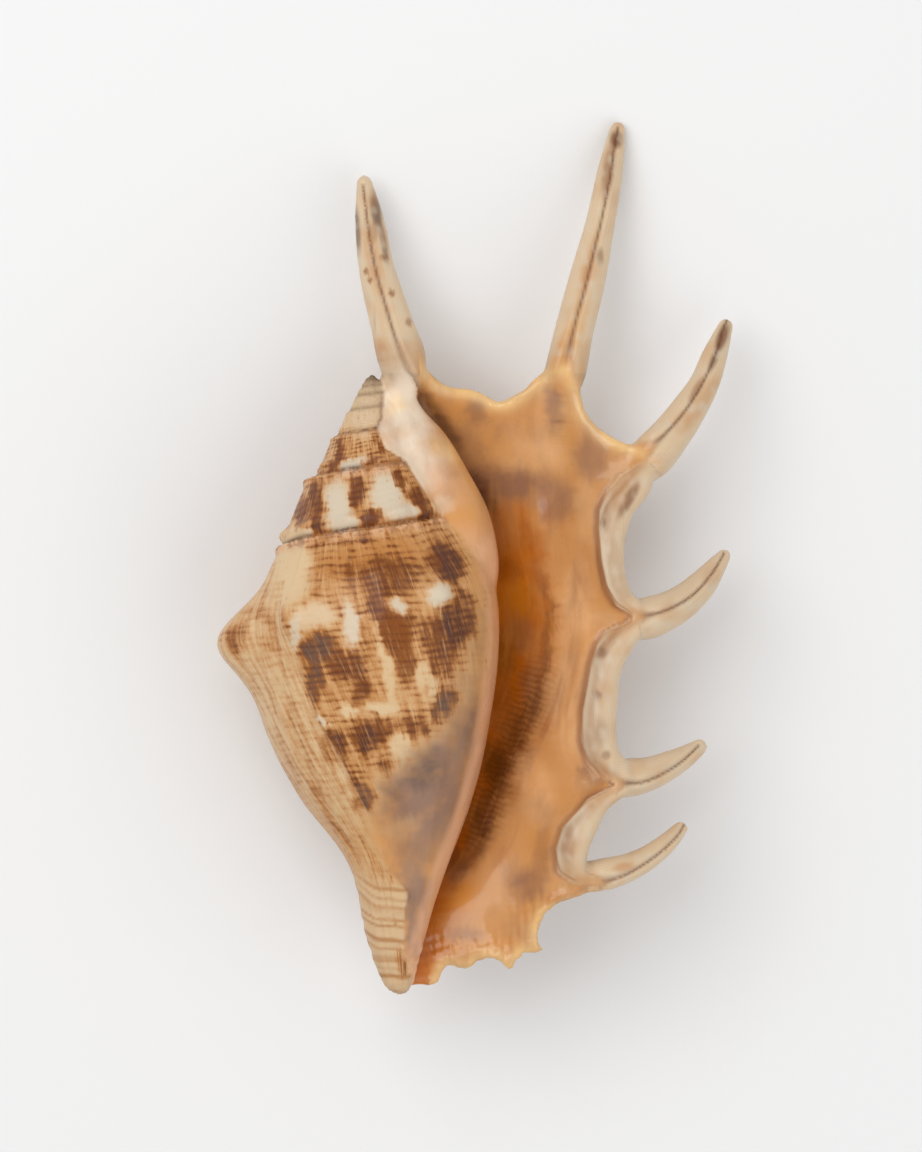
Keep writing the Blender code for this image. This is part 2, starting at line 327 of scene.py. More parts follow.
@dataclass
class Coil:
    """The spire and the last whorl: one surface round the coiling axis."""

    apex_y: float = 128.0
    lean: float = -6.0
    depth_share: float = 0.9
    growth: float = 1.66
    last_suture: float = 35.4
    wall_angle: float = 262.0
    wall_growth: float = 0.10
    inner_shrink: float = 0.08
    spire_slope: float = 0.6
    spire_step: float = 0.075
    apex_bluntness: float = 0.8
    columns: int = 240
    rows: int = 330
    spire_rows: float = 0.45  # share of the rows that go to the spire
    spire_height: float = 38.0
    first_row: float = 0.2  # distance of the first row from the apex
    canal_end: float = 2.4  # where the canal starts to close
    # half widths to the left and the right, by the share of the way down the last whorl
    left: Points = (
        (0.0, 19.8), (0.04, 21.9), (0.095, 24.2), (0.145, 26.4), (0.21, 27.6), (0.295, 27.4),
        (0.35, 26.4), (0.41, 25.0), (0.465, 23.1), (0.52, 20.6), (0.577, 17.6), (0.625, 14.2),
        (0.675, 10.8), (0.73, 8.4), (0.79, 7.3), (0.855, 6.5), (0.916, 5.1), (0.96, 3.8), (1.0, 2.3),
    )
    right: Points = (
        (0.0, 15.6), (0.07, 20.0), (0.12, 22.6), (0.19, 23.9), (0.31, 23.5), (0.437, 21.2),
        (0.54, 18.7), (0.642, 15.1), (0.7235, 11.6), (0.826, 7.5), (0.907, 4.9), (0.95, 3.5), (1.0, 2.1),
    )
    # angle, Y, how proud, spread in degrees, spread along Y
    knobs: Points = (
        (61.0, 82.4, 1.9, 4.4, 1.8), (64.0, 81.5, 0.9, 10.0, 4.0), (84.0, 80.0, 0.7, 4.0, 1.7),
        (129.0, 77.2, 1.9, 5.5, 2.8), (124.0, 78.2, 2.1, 10.0, 4.2), (180.0, 72.5, 6.6, 15.0, 5.2),
        (238.0, 68.0, 7.5, 14.0, 6.5), (97.0, 60.0, 0.5, 4.0, 1.6), (104.0, 56.5, 0.6, 3.0, 1.2),
    )
    # the shoulder's crest, as X, Y on the aperture side
    shoulder: Points = (
        (-21.0, 80.4), (-16.0, 83.4), (-10.3, 86.2), (-4.0, 87.2), (3.0, 85.8), (8.4, 83.4),
    )
    # the old lip that stands up on the last whorl: angle, Y
    ridge: Points = (
        (139.0, 95.0), (135.0, 84.0), (133.0, 76.0), (130.5, 70.0), (124.0, 57.0), (107.0, 38.0),
        (96.0, 26.0),
    )

    def axis_x(self, y: Array) -> Array:
        """X of the coiling axis at Y."""
        return self.lean * y / self.apex_y

    def suture(self, angle: Array) -> Array:
        """Distance of the last suture from the apex at each angle."""
        return self.last_suture * self.growth ** ((angle - 180.0) / 360.0)

    def position(self, angle: Array, y: Array) -> tuple[Array, Array]:
        """Where a point lies in the coil.

        Args:
            angle: degrees round the axis.
            y: height along the shell.

        Returns:
            The share of the way down its whorl, and down the last whorl (0 on the spire).
        """
        from_apex = np.maximum(self.apex_y - y, 0.05)
        suture = self.suture(angle)
        down = np.log(from_apex / suture) / math.log(self.growth)
        share = np.clip((from_apex - suture) / (self.apex_y - suture), 0.0, 1.0)
        return down - np.floor(down), np.where(down >= 0, share, 0.0)

    def radius(self, angle: Array, y: Array) -> Array:
        """Distance of the surface from the axis.

        Args:
            angle: degrees round the axis.
            y: height along the shell.

        Returns:
            The distance, in millimetres.
        """
        from_apex = np.maximum(self.apex_y - y, 0.05)
        within, share = self.position(angle, y)
        on_last = from_apex >= self.suture(angle)
        to_right = (1.0 + np.cos(np.radians(np.minimum(angle, 180.0)))) / 2.0
        last = width_along(self.left, share) * (1 - to_right) + width_along(self.right, share) * to_right
        back = np.clip((angle - 180.0) / (self.wall_angle - 180.0), 0.0, 1.0)
        last *= 1 + self.wall_growth * back
        last *= 1 - self.inner_shrink * np.clip(-angle / 90.0, 0.0, 1.0)
        spire = from_apex * (self.spire_slope + self.spire_step * (0.5 - within**1.2))
        spire += self.apex_bluntness * (1 - np.exp(-from_apex / 0.6)) * np.exp(-from_apex / 6.0)
        radius = np.where(on_last, last, spire)
        for knob_angle, knob_y, proud, spread, spread_y in self.knobs:
            radius += proud * hump(angle - knob_angle, spread) * hump(y - knob_y, spread_y)
        return radius

    def near_sutures(self, angle: Array, y: Array) -> tuple[Array, Array, Array]:
        """How far points are from the sutures above and beneath them.

        Args:
            angle: degrees round the axis.
            y: height along the shell.

        Returns:
            The distance below the suture above, the distance above the suture beneath, and the whorl:
            0 for the last, -1 for the one before it, and so on.
        """
        from_apex = np.maximum(self.apex_y - y, 0.05)
        suture = self.suture(angle)
        whorl = np.minimum(np.floor(np.log(from_apex / suture) / math.log(self.growth)), 0.0)
        top = suture * self.growth**whorl
        return from_apex - top, np.where(whorl < 0, top * self.growth - from_apex, 60.0), whorl

    def around(self, x: Array, y: Array, z: Array) -> tuple[Array, Array]:
        """Where points lie round the axis.

        Args:
            x: their X.
            y: their Y.
            z: their Z.

        Returns:
            Degrees round the axis, and how far they stand off the coil's surface.
        """
        dx, dz = x - self.axis_x(y), z / self.depth_share
        turn = np.degrees(np.arctan2(dz, dx))
        angle = np.where(turn < self.wall_angle - 360.0, turn + 360.0, turn)
        return angle, np.hypot(dx, dz) - self.radius(angle, y)

    def past_ridge(self, angle: Array, y: Array) -> Array:
        """Degrees from the old lip towards the aperture."""
        table = np.array(self.ridge)[::-1]
        return np.interp(y, table[:, 1], table[:, 0]) - angle

    def relief(self, angle: Array, y: Array) -> Array:
        """The finer forms on the coil's outer surface, as heights in millimetres.

        Args:
            angle: degrees round the axis.
            y: height along the shell.

        Returns:
            How far the surface stands proud of its main form.
        """
        below, above, whorl = self.near_sutures(angle, y)
        share = self.position(angle, y)[1]
        size = np.clip((self.apex_y - y) / 24.0, 0.3, 1.0)
        turn = np.radians(angle)
        beads = 1 + 0.7 * ripple(37 * turn, 61 * turn + 2, 83 * turn)
        height = 0.62 * size * hump(below - 1.25 * size, 0.62 * size) * beads
        height -= 1.25 * size * hump(below - 0.1, 0.32 + 0.16 * size)
        height -= 0.55 * size * hump(above, 0.5)
        lobes = np.where(whorl < -1, np.cos(9 * turn), np.cos(10 * turn - 0.35))
        bulge = hump(above - 1.8 * size, 1.0 * size) * (0.35 + 0.9 * np.clip(lobes, 0.0, 1.0))
        height += 0.95 * size * bulge * (whorl < 0)
        behind = self.past_ridge(angle, y)
        step = soft_step(behind, -1.4, 1.4) * np.exp(-np.clip(behind, 0, None) / 13.0)
        height += 0.95 * step * soft_step(y, 24, 40) * soft_step(-y, -95, -88)
        folds = ripple(14 * turn + 0.05 * y, 22 * turn - 0.03 * y, 31 * turn)
        height += 0.18 * folds * soft_step(share, 0.03, 0.15)
        x = self.axis_x(y) + self.radius(angle, y) * np.cos(turn)
        off, _, _ = Trail(self.shoulder, 60).measure(x, y)
        height += 0.55 * hump(off, 1.7) * (angle > 0) * (angle < 180)
        curls = ripple(1.15 * y + 4 * turn, 2.1 * y - 3 * turn)
        height += 0.14 * curls * soft_step(-y, -28, -20) * soft_step(y, 2, 5)
        return height

    def build(self) -> bpy.types.Object:
        """The coil as a closed mesh.

        Returns:
            The piece.
        """
        piece, around, down = add_sheet("coil", self.columns, self.rows)
        closing = around > 1 - 0.5 / self.columns
        around = np.where(closing, 0.0, around * self.columns / (self.columns - 1))
        angle = self.wall_angle - 359.0 + 358.4 * around
        spread = (self.spire_height / self.first_row) ** (down / self.spire_rows)
        spire_y = self.apex_y - self.first_row * spread
        body_y = (self.apex_y - self.spire_height) * (1 - (down - self.spire_rows) / (1 - self.spire_rows))
        y = np.where(down < self.spire_rows, spire_y, body_y)
        to_end = np.clip((self.canal_end - y) / self.canal_end, 0.0, 0.96)
        radius = self.radius(angle, y) * np.sqrt(1 - to_end**2)
        x = self.axis_x(y) + radius * np.cos(np.radians(angle))
        z = self.depth_share * radius * np.sin(np.radians(angle))
        place_vertices(piece, np.stack([x, y, z], axis=-1))
        close_up(piece)
        return piece


@dataclass
class Tube:
    """A round form drawn along a line: a digit, the rolled rim or the callus."""

    name: str
    stations: Points
    rows: int = 120
    sides: int = 32
    flatness: float = 1.0
    cap_rings: int = 7

    def build(self) -> bpy.types.Object:
        """The tube as a closed mesh with round ends.

        Returns:
            The piece.
        """
        line = smooth_through(self.stations, self.rows)
        centre, radius = line[:, :3], np.maximum(line[:, 3], 0.3)
        along = np.gradient(centre, axis=0)
        along /= np.linalg.norm(along, axis=1)[:, None]
        turns = np.radians(np.linspace(84, 12, self.cap_rings))
        head = centre[:1] - along[:1] * radius[0] * np.sin(turns)[:, None]
        tail = centre[-1:] + along[-1:] * radius[-1] * np.sin(turns[::-1])[:, None]
        centre = np.concatenate([head, centre, tail])
        radius = np.concatenate([radius[0] * np.cos(turns), radius, radius[-1] * np.cos(turns[::-1])])
        rings = self.cap_rings
        along = np.concatenate([np.repeat(along[:1], rings, 0), along, np.repeat(along[-1:], rings, 0)])
        side = np.empty_like(along)
        last = np.cross(along[0], (0.0, 0.0, 1.0))
        for k, direction in enumerate(along):
            last = last - direction * last.dot(direction)
            last /= np.linalg.norm(last)
            side[k] = last
        piece, around, down = add_sheet(self.name, self.sides, len(centre) - 1)
        row = np.rint(down * (len(centre) - 1)).astype(int)
        turn = 2 * math.pi * around
        outward = np.cos(turn)[:, None] * side[row]
        outward += np.sin(turn)[:, None] * np.cross(along[row], side[row])
        outward *= radius[row][:, None] * np.array((1.0, 1.0, self.flatness))
        place_vertices(piece, centre[row] + outward)
        close_up(piece)
        return piece


@dataclass
class Lip:
    """The flared lip, fanned from the back of the body to its rim."""

    thickness: float = 3.3
    # X, Y, Z and half width of the rim
    rim: Points = (
        (2.6, 130.8, 0.3, 1.6), (5.6, 127.2, -1.0, 1.2), (9.3, 124.8, -3.0, 0.9),
        (15.4, 123.8, -4.5, 0.85), (20.6, 121.4, -5.5, 0.85), (25.5, 123.6, -5.2, 0.9),
        (29.8, 127.2, -5.0, 1.1), (33.6, 128.8, -5.0, 1.4), (35.8, 125.2, -4.6, 1.1),
        (37.7, 119.5, -3.8, 0.9), (42.2, 114.9, -2.8, 0.9), (46.7, 112.5, -2.2, 1.1),
        (50.5, 110.4, -2.0, 2.0), (49.2, 105.4, 0.2, 2.9), (45.4, 100.0, 2.2, 2.9),
        (43.5, 94.0, 3.2, 2.95), (43.5, 87.5, 3.4, 2.9), (45.4, 81.4, 3.2, 2.7), (48.8, 77.6, 2.2, 2.8),
        (46.2, 73.6, 3.2, 2.9), (43.0, 68.5, 4.0, 3.1), (41.4, 61.0, 4.4, 3.5), (41.0, 54.5, 4.4, 3.6),
        (41.9, 49.3, 4.0, 3.3), (45.2, 44.6, 2.8, 3.0), (40.6, 39.8, 3.8, 2.8), (38.0, 35.5, 4.2, 3.1),
        (35.7, 30.5, 4.4, 3.3), (35.4, 26.6, 4.0, 3.1), (37.4, 23.4, 2.6, 2.4), (31.8, 19.6, 1.0, 1.2),
        (28.8, 16.8, -0.4, 1.0), (27.7, 13.8, -1.4, 1.0), (27.6, 10.8, -2.2, 0.9), (28.7, 9.3, -2.6, 0.6),
        (25.2, 9.4, -3.6, 0.9), (23.6, 7.6, -4.2, 0.8), (22.6, 5.7, -4.6, 0.6), (20.6, 7.8, -5.2, 0.9),
        (16.0, 7.8, -6.2, 0.9), (13.6, 5.8, -6.6, 0.7), (11.0, 6.7, -6.8, 0.9), (8.8, 6.4, -6.8, 0.9),
        (7.0, 3.0, -6.4, 0.9), (3.6, 2.8, -5.2, 1.0), (0.6, 2.6, -3.6, 1.2),
    )
    # X, Y, Z of points on the middle surface
    depths: Points = (
        (21, 98, -15), (27, 90, -12.5), (30.5, 78, -9.5), (31.5, 68, -8.5), (29.5, 57, -8.5),
        (25.5, 47, -9), (21, 36, -9), (15.5, 27, -9.5), (9.5, 17, -9),
        (12, 118, -8.5), (22, 113, -9.5), (32, 115, -7), (36, 105, -7.5), (29, 103, -11.5),
        (38, 95, -3.5), (36.5, 85, -5), (37.5, 75, -2.5), (36.5, 65, -2.5), (35, 55, -2.2),
        (34.5, 45, -2), (30, 38, -3), (28, 28, -3.5), (26, 19, -3.8), (20, 17, -6.5), (18, 11, -7),
        (12, 12, -8), (6, 9, -8), (6, 112, -12.5), (10, 103, -17.5), (15, 96, -20), (20, 86, -20.5),
        (22.5, 75, -20), (23, 65, -19), (21, 55, -18), (18, 45, -17), (13.5, 35, -15), (9, 25, -13),
        (4, 12, -8.5), (-7, 98, -14), (2, 98, -20), (-7, 85, -19.8), (2, 85, -23.6), (11, 85, -24.4),
        (-8, 75, -25.6), (4, 73, -27), (14, 73, -25.5), (-8, 62, -25.8), (4, 60, -26.6),
        (14, 61, -24.5), (-6.5, 50, -21.8), (6, 48, -23), (-5, 38, -15.8), (5, 36, -18.5),
        (-2.8, 26, -7.6), (3, 24, -13), (-1.8, 14, -5.2),
    )
    # X, Y, Z of the line on the body's back that the lip fans out from
    hub: Points = (
        (-4, 121, -4), (-9, 112, -6.5), (-14, 104, -8.5), (-21, 88, -12.5), (-22, 76, -15.5),
        (-21, 64, -15.5), (-17, 50, -12), (-11, 38, -8), (-5, 26, -4), (-3, 14, -3), (-1, 5, -2.5),
    )
    ribs: tuple[Points, ...] = (
        ((33, 125), (29, 112), (24, 99), (19, 87)),
        ((47, 107), (40, 100), (32, 93), (24, 86)),
        ((47, 77), (38, 75.5), (30, 74), (21, 71)),
        ((43, 44), (35, 45), (28, 47.5), (21, 51)),
        ((38, 24.5), (31, 26.5), (25, 29), (17, 34)),
    )
    rib_proud: float = 3.0
    rib_spread: float = 3.4
    columns: int = 110  # on each face
    rows: int = 340
    back_knobs: Points = (
        (11.5, 63.5, 4.6, 5.5), (26.5, 65.0, 2.2, 4.5), (4.0, 44.0, 1.6, 4.0), (17.0, 44.5, 1.6, 4.0),
    )
    known: Array = field(init=False, repr=False)
    weights: Array = field(init=False, repr=False)

    def __post_init__(self) -> None:
        """Solve for the smooth plate that passes through every depth given."""
        known = np.array([p[:3] for p in self.rim] + list(self.depths) + list(self.hub), float)
        count = len(known)
        flat = np.column_stack([np.ones(count), known[:, 0], known[:, 1]])
        system = np.zeros((count + 3, count + 3))
        system[:count, :count] = self.bend(known, known[:, 0], known[:, 1])
        system[:count, count:] = flat
        system[count:, :count] = flat.T
        self.known = known
        self.weights = np.linalg.solve(system, np.concatenate([known[:, 2], np.zeros(3)]))

    @staticmethod
    def bend(known: Array, x: Array, y: Array) -> Array:
        """The plate's bending terms between known points and other points."""
        squared = (x[:, None] - known[:, 0]) ** 2 + (y[:, None] - known[:, 1]) ** 2
        return 0.5 * squared * np.log(np.maximum(squared, 1e-9))

    def depth(self, x: Array, y: Array) -> Array:
        """Z of the lip's middle surface over X and Y."""
        base = self.weights[-3] + self.weights[-2] * x + self.weights[-1] * y
        return self.bend(self.known, x, y) @ self.weights[:-3] + base

    def back_relief(self, x: Array, y: Array) -> Array:
        """How much thicker the lip is on its back, for the ribs and the knobs.

        Args:
            x: X of the points.
            y: Y of the points.

        Returns:
            The added thickness, in millimetres.
        """
        relief = np.zeros_like(x)
        for rib in self.ribs:
            away, share, _ = Trail(rib, 60).measure(x, y)
            relief += self.rib_proud * np.cos(share * math.pi / 2) * hump(away, self.rib_spread)
        for knob_x, knob_y, proud, spread in self.back_knobs:
            relief += proud * hump(np.hypot(x - knob_x, y - knob_y), spread)
        return relief

    def build(self) -> bpy.types.Object:
        """The lip as a closed mesh: a flat sheet wrapped round both faces.

        Returns:
            The piece.
        """
        rim, hub = smooth_through(self.rim, self.rows + 1), smooth_through(self.hub, self.rows + 1)
        last = 2 * self.columns + 2
        piece, around, along = add_sheet("lip", last, self.rows)
        row = np.rint(along * self.rows).astype(int)
        step = np.rint(around * last).astype(int)
        front = step <= self.columns
        column = np.where(front, step, last - 1 - step)
        column = np.where(step == last, 0, column)
        front |= step == last
        across = (column / self.columns)[:, None]
        flat = hub[row, :2] * (1 - across) + rim[row, :2] * across
        x, y = flat[:, 0], flat[:, 1]
        half = 0.5 * self.thickness * (1 - 0.45 * across[:, 0] ** 12)
        middle = self.depth(x, y)
        z = np.where(front, middle + half, middle - half - self.back_relief(x, y))
        place_vertices(piece, np.stack([x, y, z], axis=-1))
        close_up(piece)
        return piece


@dataclass
class Digit:
    """One of the long hollow fingers of the lip, closed along a seam on the aperture side."""

    stations: Points  # tip to root
    seam: Points  # X, Y from the tip to where it opens into the lip
    opening: float = 3.0  # half width of the mouth where the seam meets the lip


DIGITS = (
    Digit(((-7.4, 167.4, -12, 1.7), (-6.5, 161, -10, 2.9), (-4.7, 149, -6, 3.8), (-1.6, 137.8, -2, 4.5),
           (0.6, 130, 0.4, 4.9), (1.4, 126, 0.2, 3.8)),
          ((-7.7, 167.0), (-7.2, 163.2), (-6.2, 155.5), (-4.8, 148.4), (-2.7, 141.0), (-0.9, 135.0),
           (0.7, 131.0), (2.6, 126.6), (5.2, 122.2), (8.0, 118.0), (10.6, 113.4)), 1.3),
    Digit(((44.9, 178.4, -19, 1.8), (43.6, 171, -16.5, 2.65), (41.3, 159, -13, 3.15),
           (38.5, 147, -10, 3.9), (35.7, 136, -7.2, 4.1), (34.0, 128, -6, 4.3), (32, 121, -8.4, 3.2)),
          ((45.1, 179.0), (44.6, 176.7), (43.2, 167.8), (42.0, 161.7), (40.1, 153.6), (38.1, 145.5),
           (36.1, 138.2), (34.6, 131.6), (33.9, 127.0), (32.9, 121.0), (31.6, 114.0))),
    Digit(((67.2, 137.8, -16, 1.7), (64.9, 131.6, -13, 2.75), (62.6, 125.6, -10.2, 3.2),
           (59.5, 120.5, -7.6, 3.75), (55.8, 115.4, -5.2, 4.2), (51.4, 110.4, -3.4, 4.6),
           (47, 106.6, -4.6, 3.2)),
          ((67.6, 139.2), (67.1, 138.3), (65.6, 133.4), (63.9, 129.1), (60.8, 123.3), (57.0, 118.1),
           (52.7, 113.8), (49.8, 111.9), (46.8, 110.0), (43.4, 106.8))),
    Digit(((66.8, 90.3, -14, 1.6), (65, 87.9, -12, 2.3), (62.3, 84.5, -9, 3.1), (58.8, 81.3, -5.6, 3.6),
           (55.2, 79.1, -2.8, 4.0), (50.5, 77.4, -0.5, 4.4), (45, 76.3, -0.8, 3.2)),
          ((66.9, 91.0), (66.2, 89.7), (63.8, 86.1), (60.5, 82.5), (57.2, 80.3), (53.7, 78.8),
           (50.4, 78.1), (46.6, 77.9), (42.6, 77.4))),
    Digit(((61.7, 50.9, -10, 1.8), (59, 49.1, -8, 2.4), (55.2, 47.1, -5, 3.1), (51, 45.4, -2.2, 3.6),
           (46.8, 44.7, 0, 4.1), (41, 44, -0.6, 3.2)),
          ((61.6, 51.3), (61.1, 50.8), (57.6, 47.7), (53.7, 45.3), (49.8, 43.8), (45.9, 43.6),
           (43.2, 43.4), (39.6, 43.9))),
    Digit(((57.8, 34.2, -9, 1.6), (55.4, 31.6, -7, 2.15), (51.3, 28.4, -4.5, 2.6), (46.8, 26.1, -2, 3.05),
           (42.8, 25, -0.2, 3.4), (38.5, 24.3, 0.4, 3.3), (34.5, 24.5, -0.6, 2.8)),
          ((58.5, 34.9), (58.0, 33.9), (55.1, 30.6), (51.0, 27.4), (47.1, 25.1), (42.0, 23.3),
           (38.0, 22.6), (34.8, 22.6))),
)

# The callus that swells along the body, as X, Y, Z, half width from the spire down.
CALLUS = (
    (-0.8, 127.5, 0.2, 3.0), (0.0, 120, 0.2, 4.6), (3.0, 112, 0.6, 7.4), (6.5, 104, 1.2, 8.5),
    (9.5, 96, 1.4, 9.5), (10.0, 88, 0.0, 10.4), (9.0, 80, -2.0, 9.5),
)
CALLUS_FLATNESS = 0.85

# Edges seen from the aperture side, as X, Y from the spire down.
CALLUS_EDGE = (
    (-4.3, 128.5), (-3.3, 124.0), (-3.5, 118.7), (-4.6, 116.4), (-2.9, 112.3), (1.0, 110.0), (7.6, 99.6),
    (14.5, 92.0), (17.0, 84.0), (17.2, 74.0), (15.2, 66.0), (11.3, 56.5), (2.3, 49.2), (-1.4, 45.9),
    (-4.1, 42.6), (-5.4, 37.4), (-6.0, 33.1), (-4.1, 29.0), (-1.4, 24.7), (1.6, 21.4), (1.0, 16.3),
    (0.8, 12.5), (1.0, 8.8), (2.0, 6.0), (2.6, 2.0), (3.0, 0.0),
)
INNER_EDGE = (
    (60.0, 112.0), (49.4, 109.8), (45.3, 107.0), (42.6, 103.7), (40.9, 99.8), (40.7, 95.9),
    (41.3, 89.3), (42.4, 84.3), (44.6, 80.0), (47.6, 78.3), (47.6, 77.4), (42.2, 74.9), (40.3, 72.0),
    (39.1, 68.1), (38.3, 63.4), (37.4, 58.4), (37.2, 52.2), (38.5, 47.7), (40.9, 44.6), (44.0, 43.7),
    (44.0, 43.2), (41.3, 41.8), (38.7, 40.5), (36.6, 38.1), (33.3, 34.6), (31.9, 30.2), (32.5, 25.1),
    (35.4, 22.9), (40.0, 22.4), (60.0, 21.0),
)
FOLD_EDGE = (
    (28.0, 97.5), (28.4, 94.6), (29.2, 90.1), (30.4, 85.0), (31.2, 80.8), (31.4, 77.1), (31.4, 74.1),
    (30.4, 67.9), (29.2, 62.7), (27.9, 58.6), (25.7, 53.5), (22.9, 48.3), (21.4, 43.2), (19.5, 37.6),
    (17.6, 31.9), (15.4, 28.0), (12.6, 24.5), (9.4, 20.5),
)


# Painting --------------------------------------------------------------------------------------------


@dataclass(frozen=True)
class Blot:
    """A soft-edged patch of colour: where it is, its half sizes, how far it is turned, its strength."""

    tone: Tone
    x: float
    y: float
    wide: float
    high: float
    turn: float = 0.0
    strength: float = 1.0

    def cover(self, x: Array, y: Array) -> Array:
        """How strongly it covers points.

        Args:
            x: their X.
            y: their Y.

        Returns:
            Its strength at each point, 0 outside it.
        """
        a = math.radians(self.turn)
        dx, dy = x - self.x, y - self.y
        u = (dx * math.cos(a) + dy * math.sin(a)) / self.wide
        v = (dy * math.cos(a) - dx * math.sin(a)) / self.high
        return self.strength * (1 - soft_step(np.hypot(u, v), 0.45, 1.35))


def blots(*groups: tuple) -> tuple[Blot, ...]:
    """Blots in the order given; each group is a tone and rows of the other numbers."""
    return tuple(Blot(tone, *row) for tone, *rows in groups for row in rows)


GROUND_BLOTS = blots(  # the light ground colour of the back and spire
    (Tone.BONE, (-6.5, 122.5, 6.5, 8.0, 0, 0.9)), (Tone.WHITE, (-9.5, 109.3, 3.6, 1.6, 20),
    (-12.8, 100.8, 3.0, 5.4, -8), (-2.6, 102.8, 4.0, 4.6, 8), (-10.8, 96.7, 2.8, 1.6, 12),
    (0.8, 99.4, 3.2, 1.7, 12), (-19.8, 94.7, 2.0, 1.2)), (Tone.STRAW, (-3.1, 110.8, 2.4, 1.2)),
    (Tone.TAN, (-6.0, 90.0, 14.0, 3.8, 10, 0.85)), (Tone.CREAM, (-22.0, 88.0, 4.0, 8.0)),
    (Tone.WHITE, (8.3, 82.4, 2.7, 2.5, 0, 1.0), (-0.2, 79.9, 2.0, 2.0, 0, 0.9)),
    (Tone.BONE, (-17.6, 78.0, 4.6, 2.8, 8, 0.75)), (Tone.WHITE, (-21.4, 74.6, 1.2, 4.0, 0, 0.8),
    (-10.0, 76.4, 2.0, 5.0, 3, 0.9)), (Tone.CREAM, (-2.8, 68.0, 1.0, 10.0, 13, 0.75),
    (-10.3, 58.6, 2.2, 1.4)), (Tone.WHITE, (-15.9, 56.2, 1.4, 0.7, -25)),
    (Tone.CREAM, (6.8, 63.0, 1.4, 3.5, 0, 0.75), (-3.5, 59.0, 3.4, 1.4), (0.4, 51.0, 2.4, 3.0, 0, 0.9),
    (4.4, 66.0, 2.0, 3.0, 0, 0.8), (-12.0, 47.0, 1.2, 7.0, 18, 0.6)),
    (Tone.STRAW, (-2.0, 14.0, 6.0, 9.0, 0, 0.7)),
)

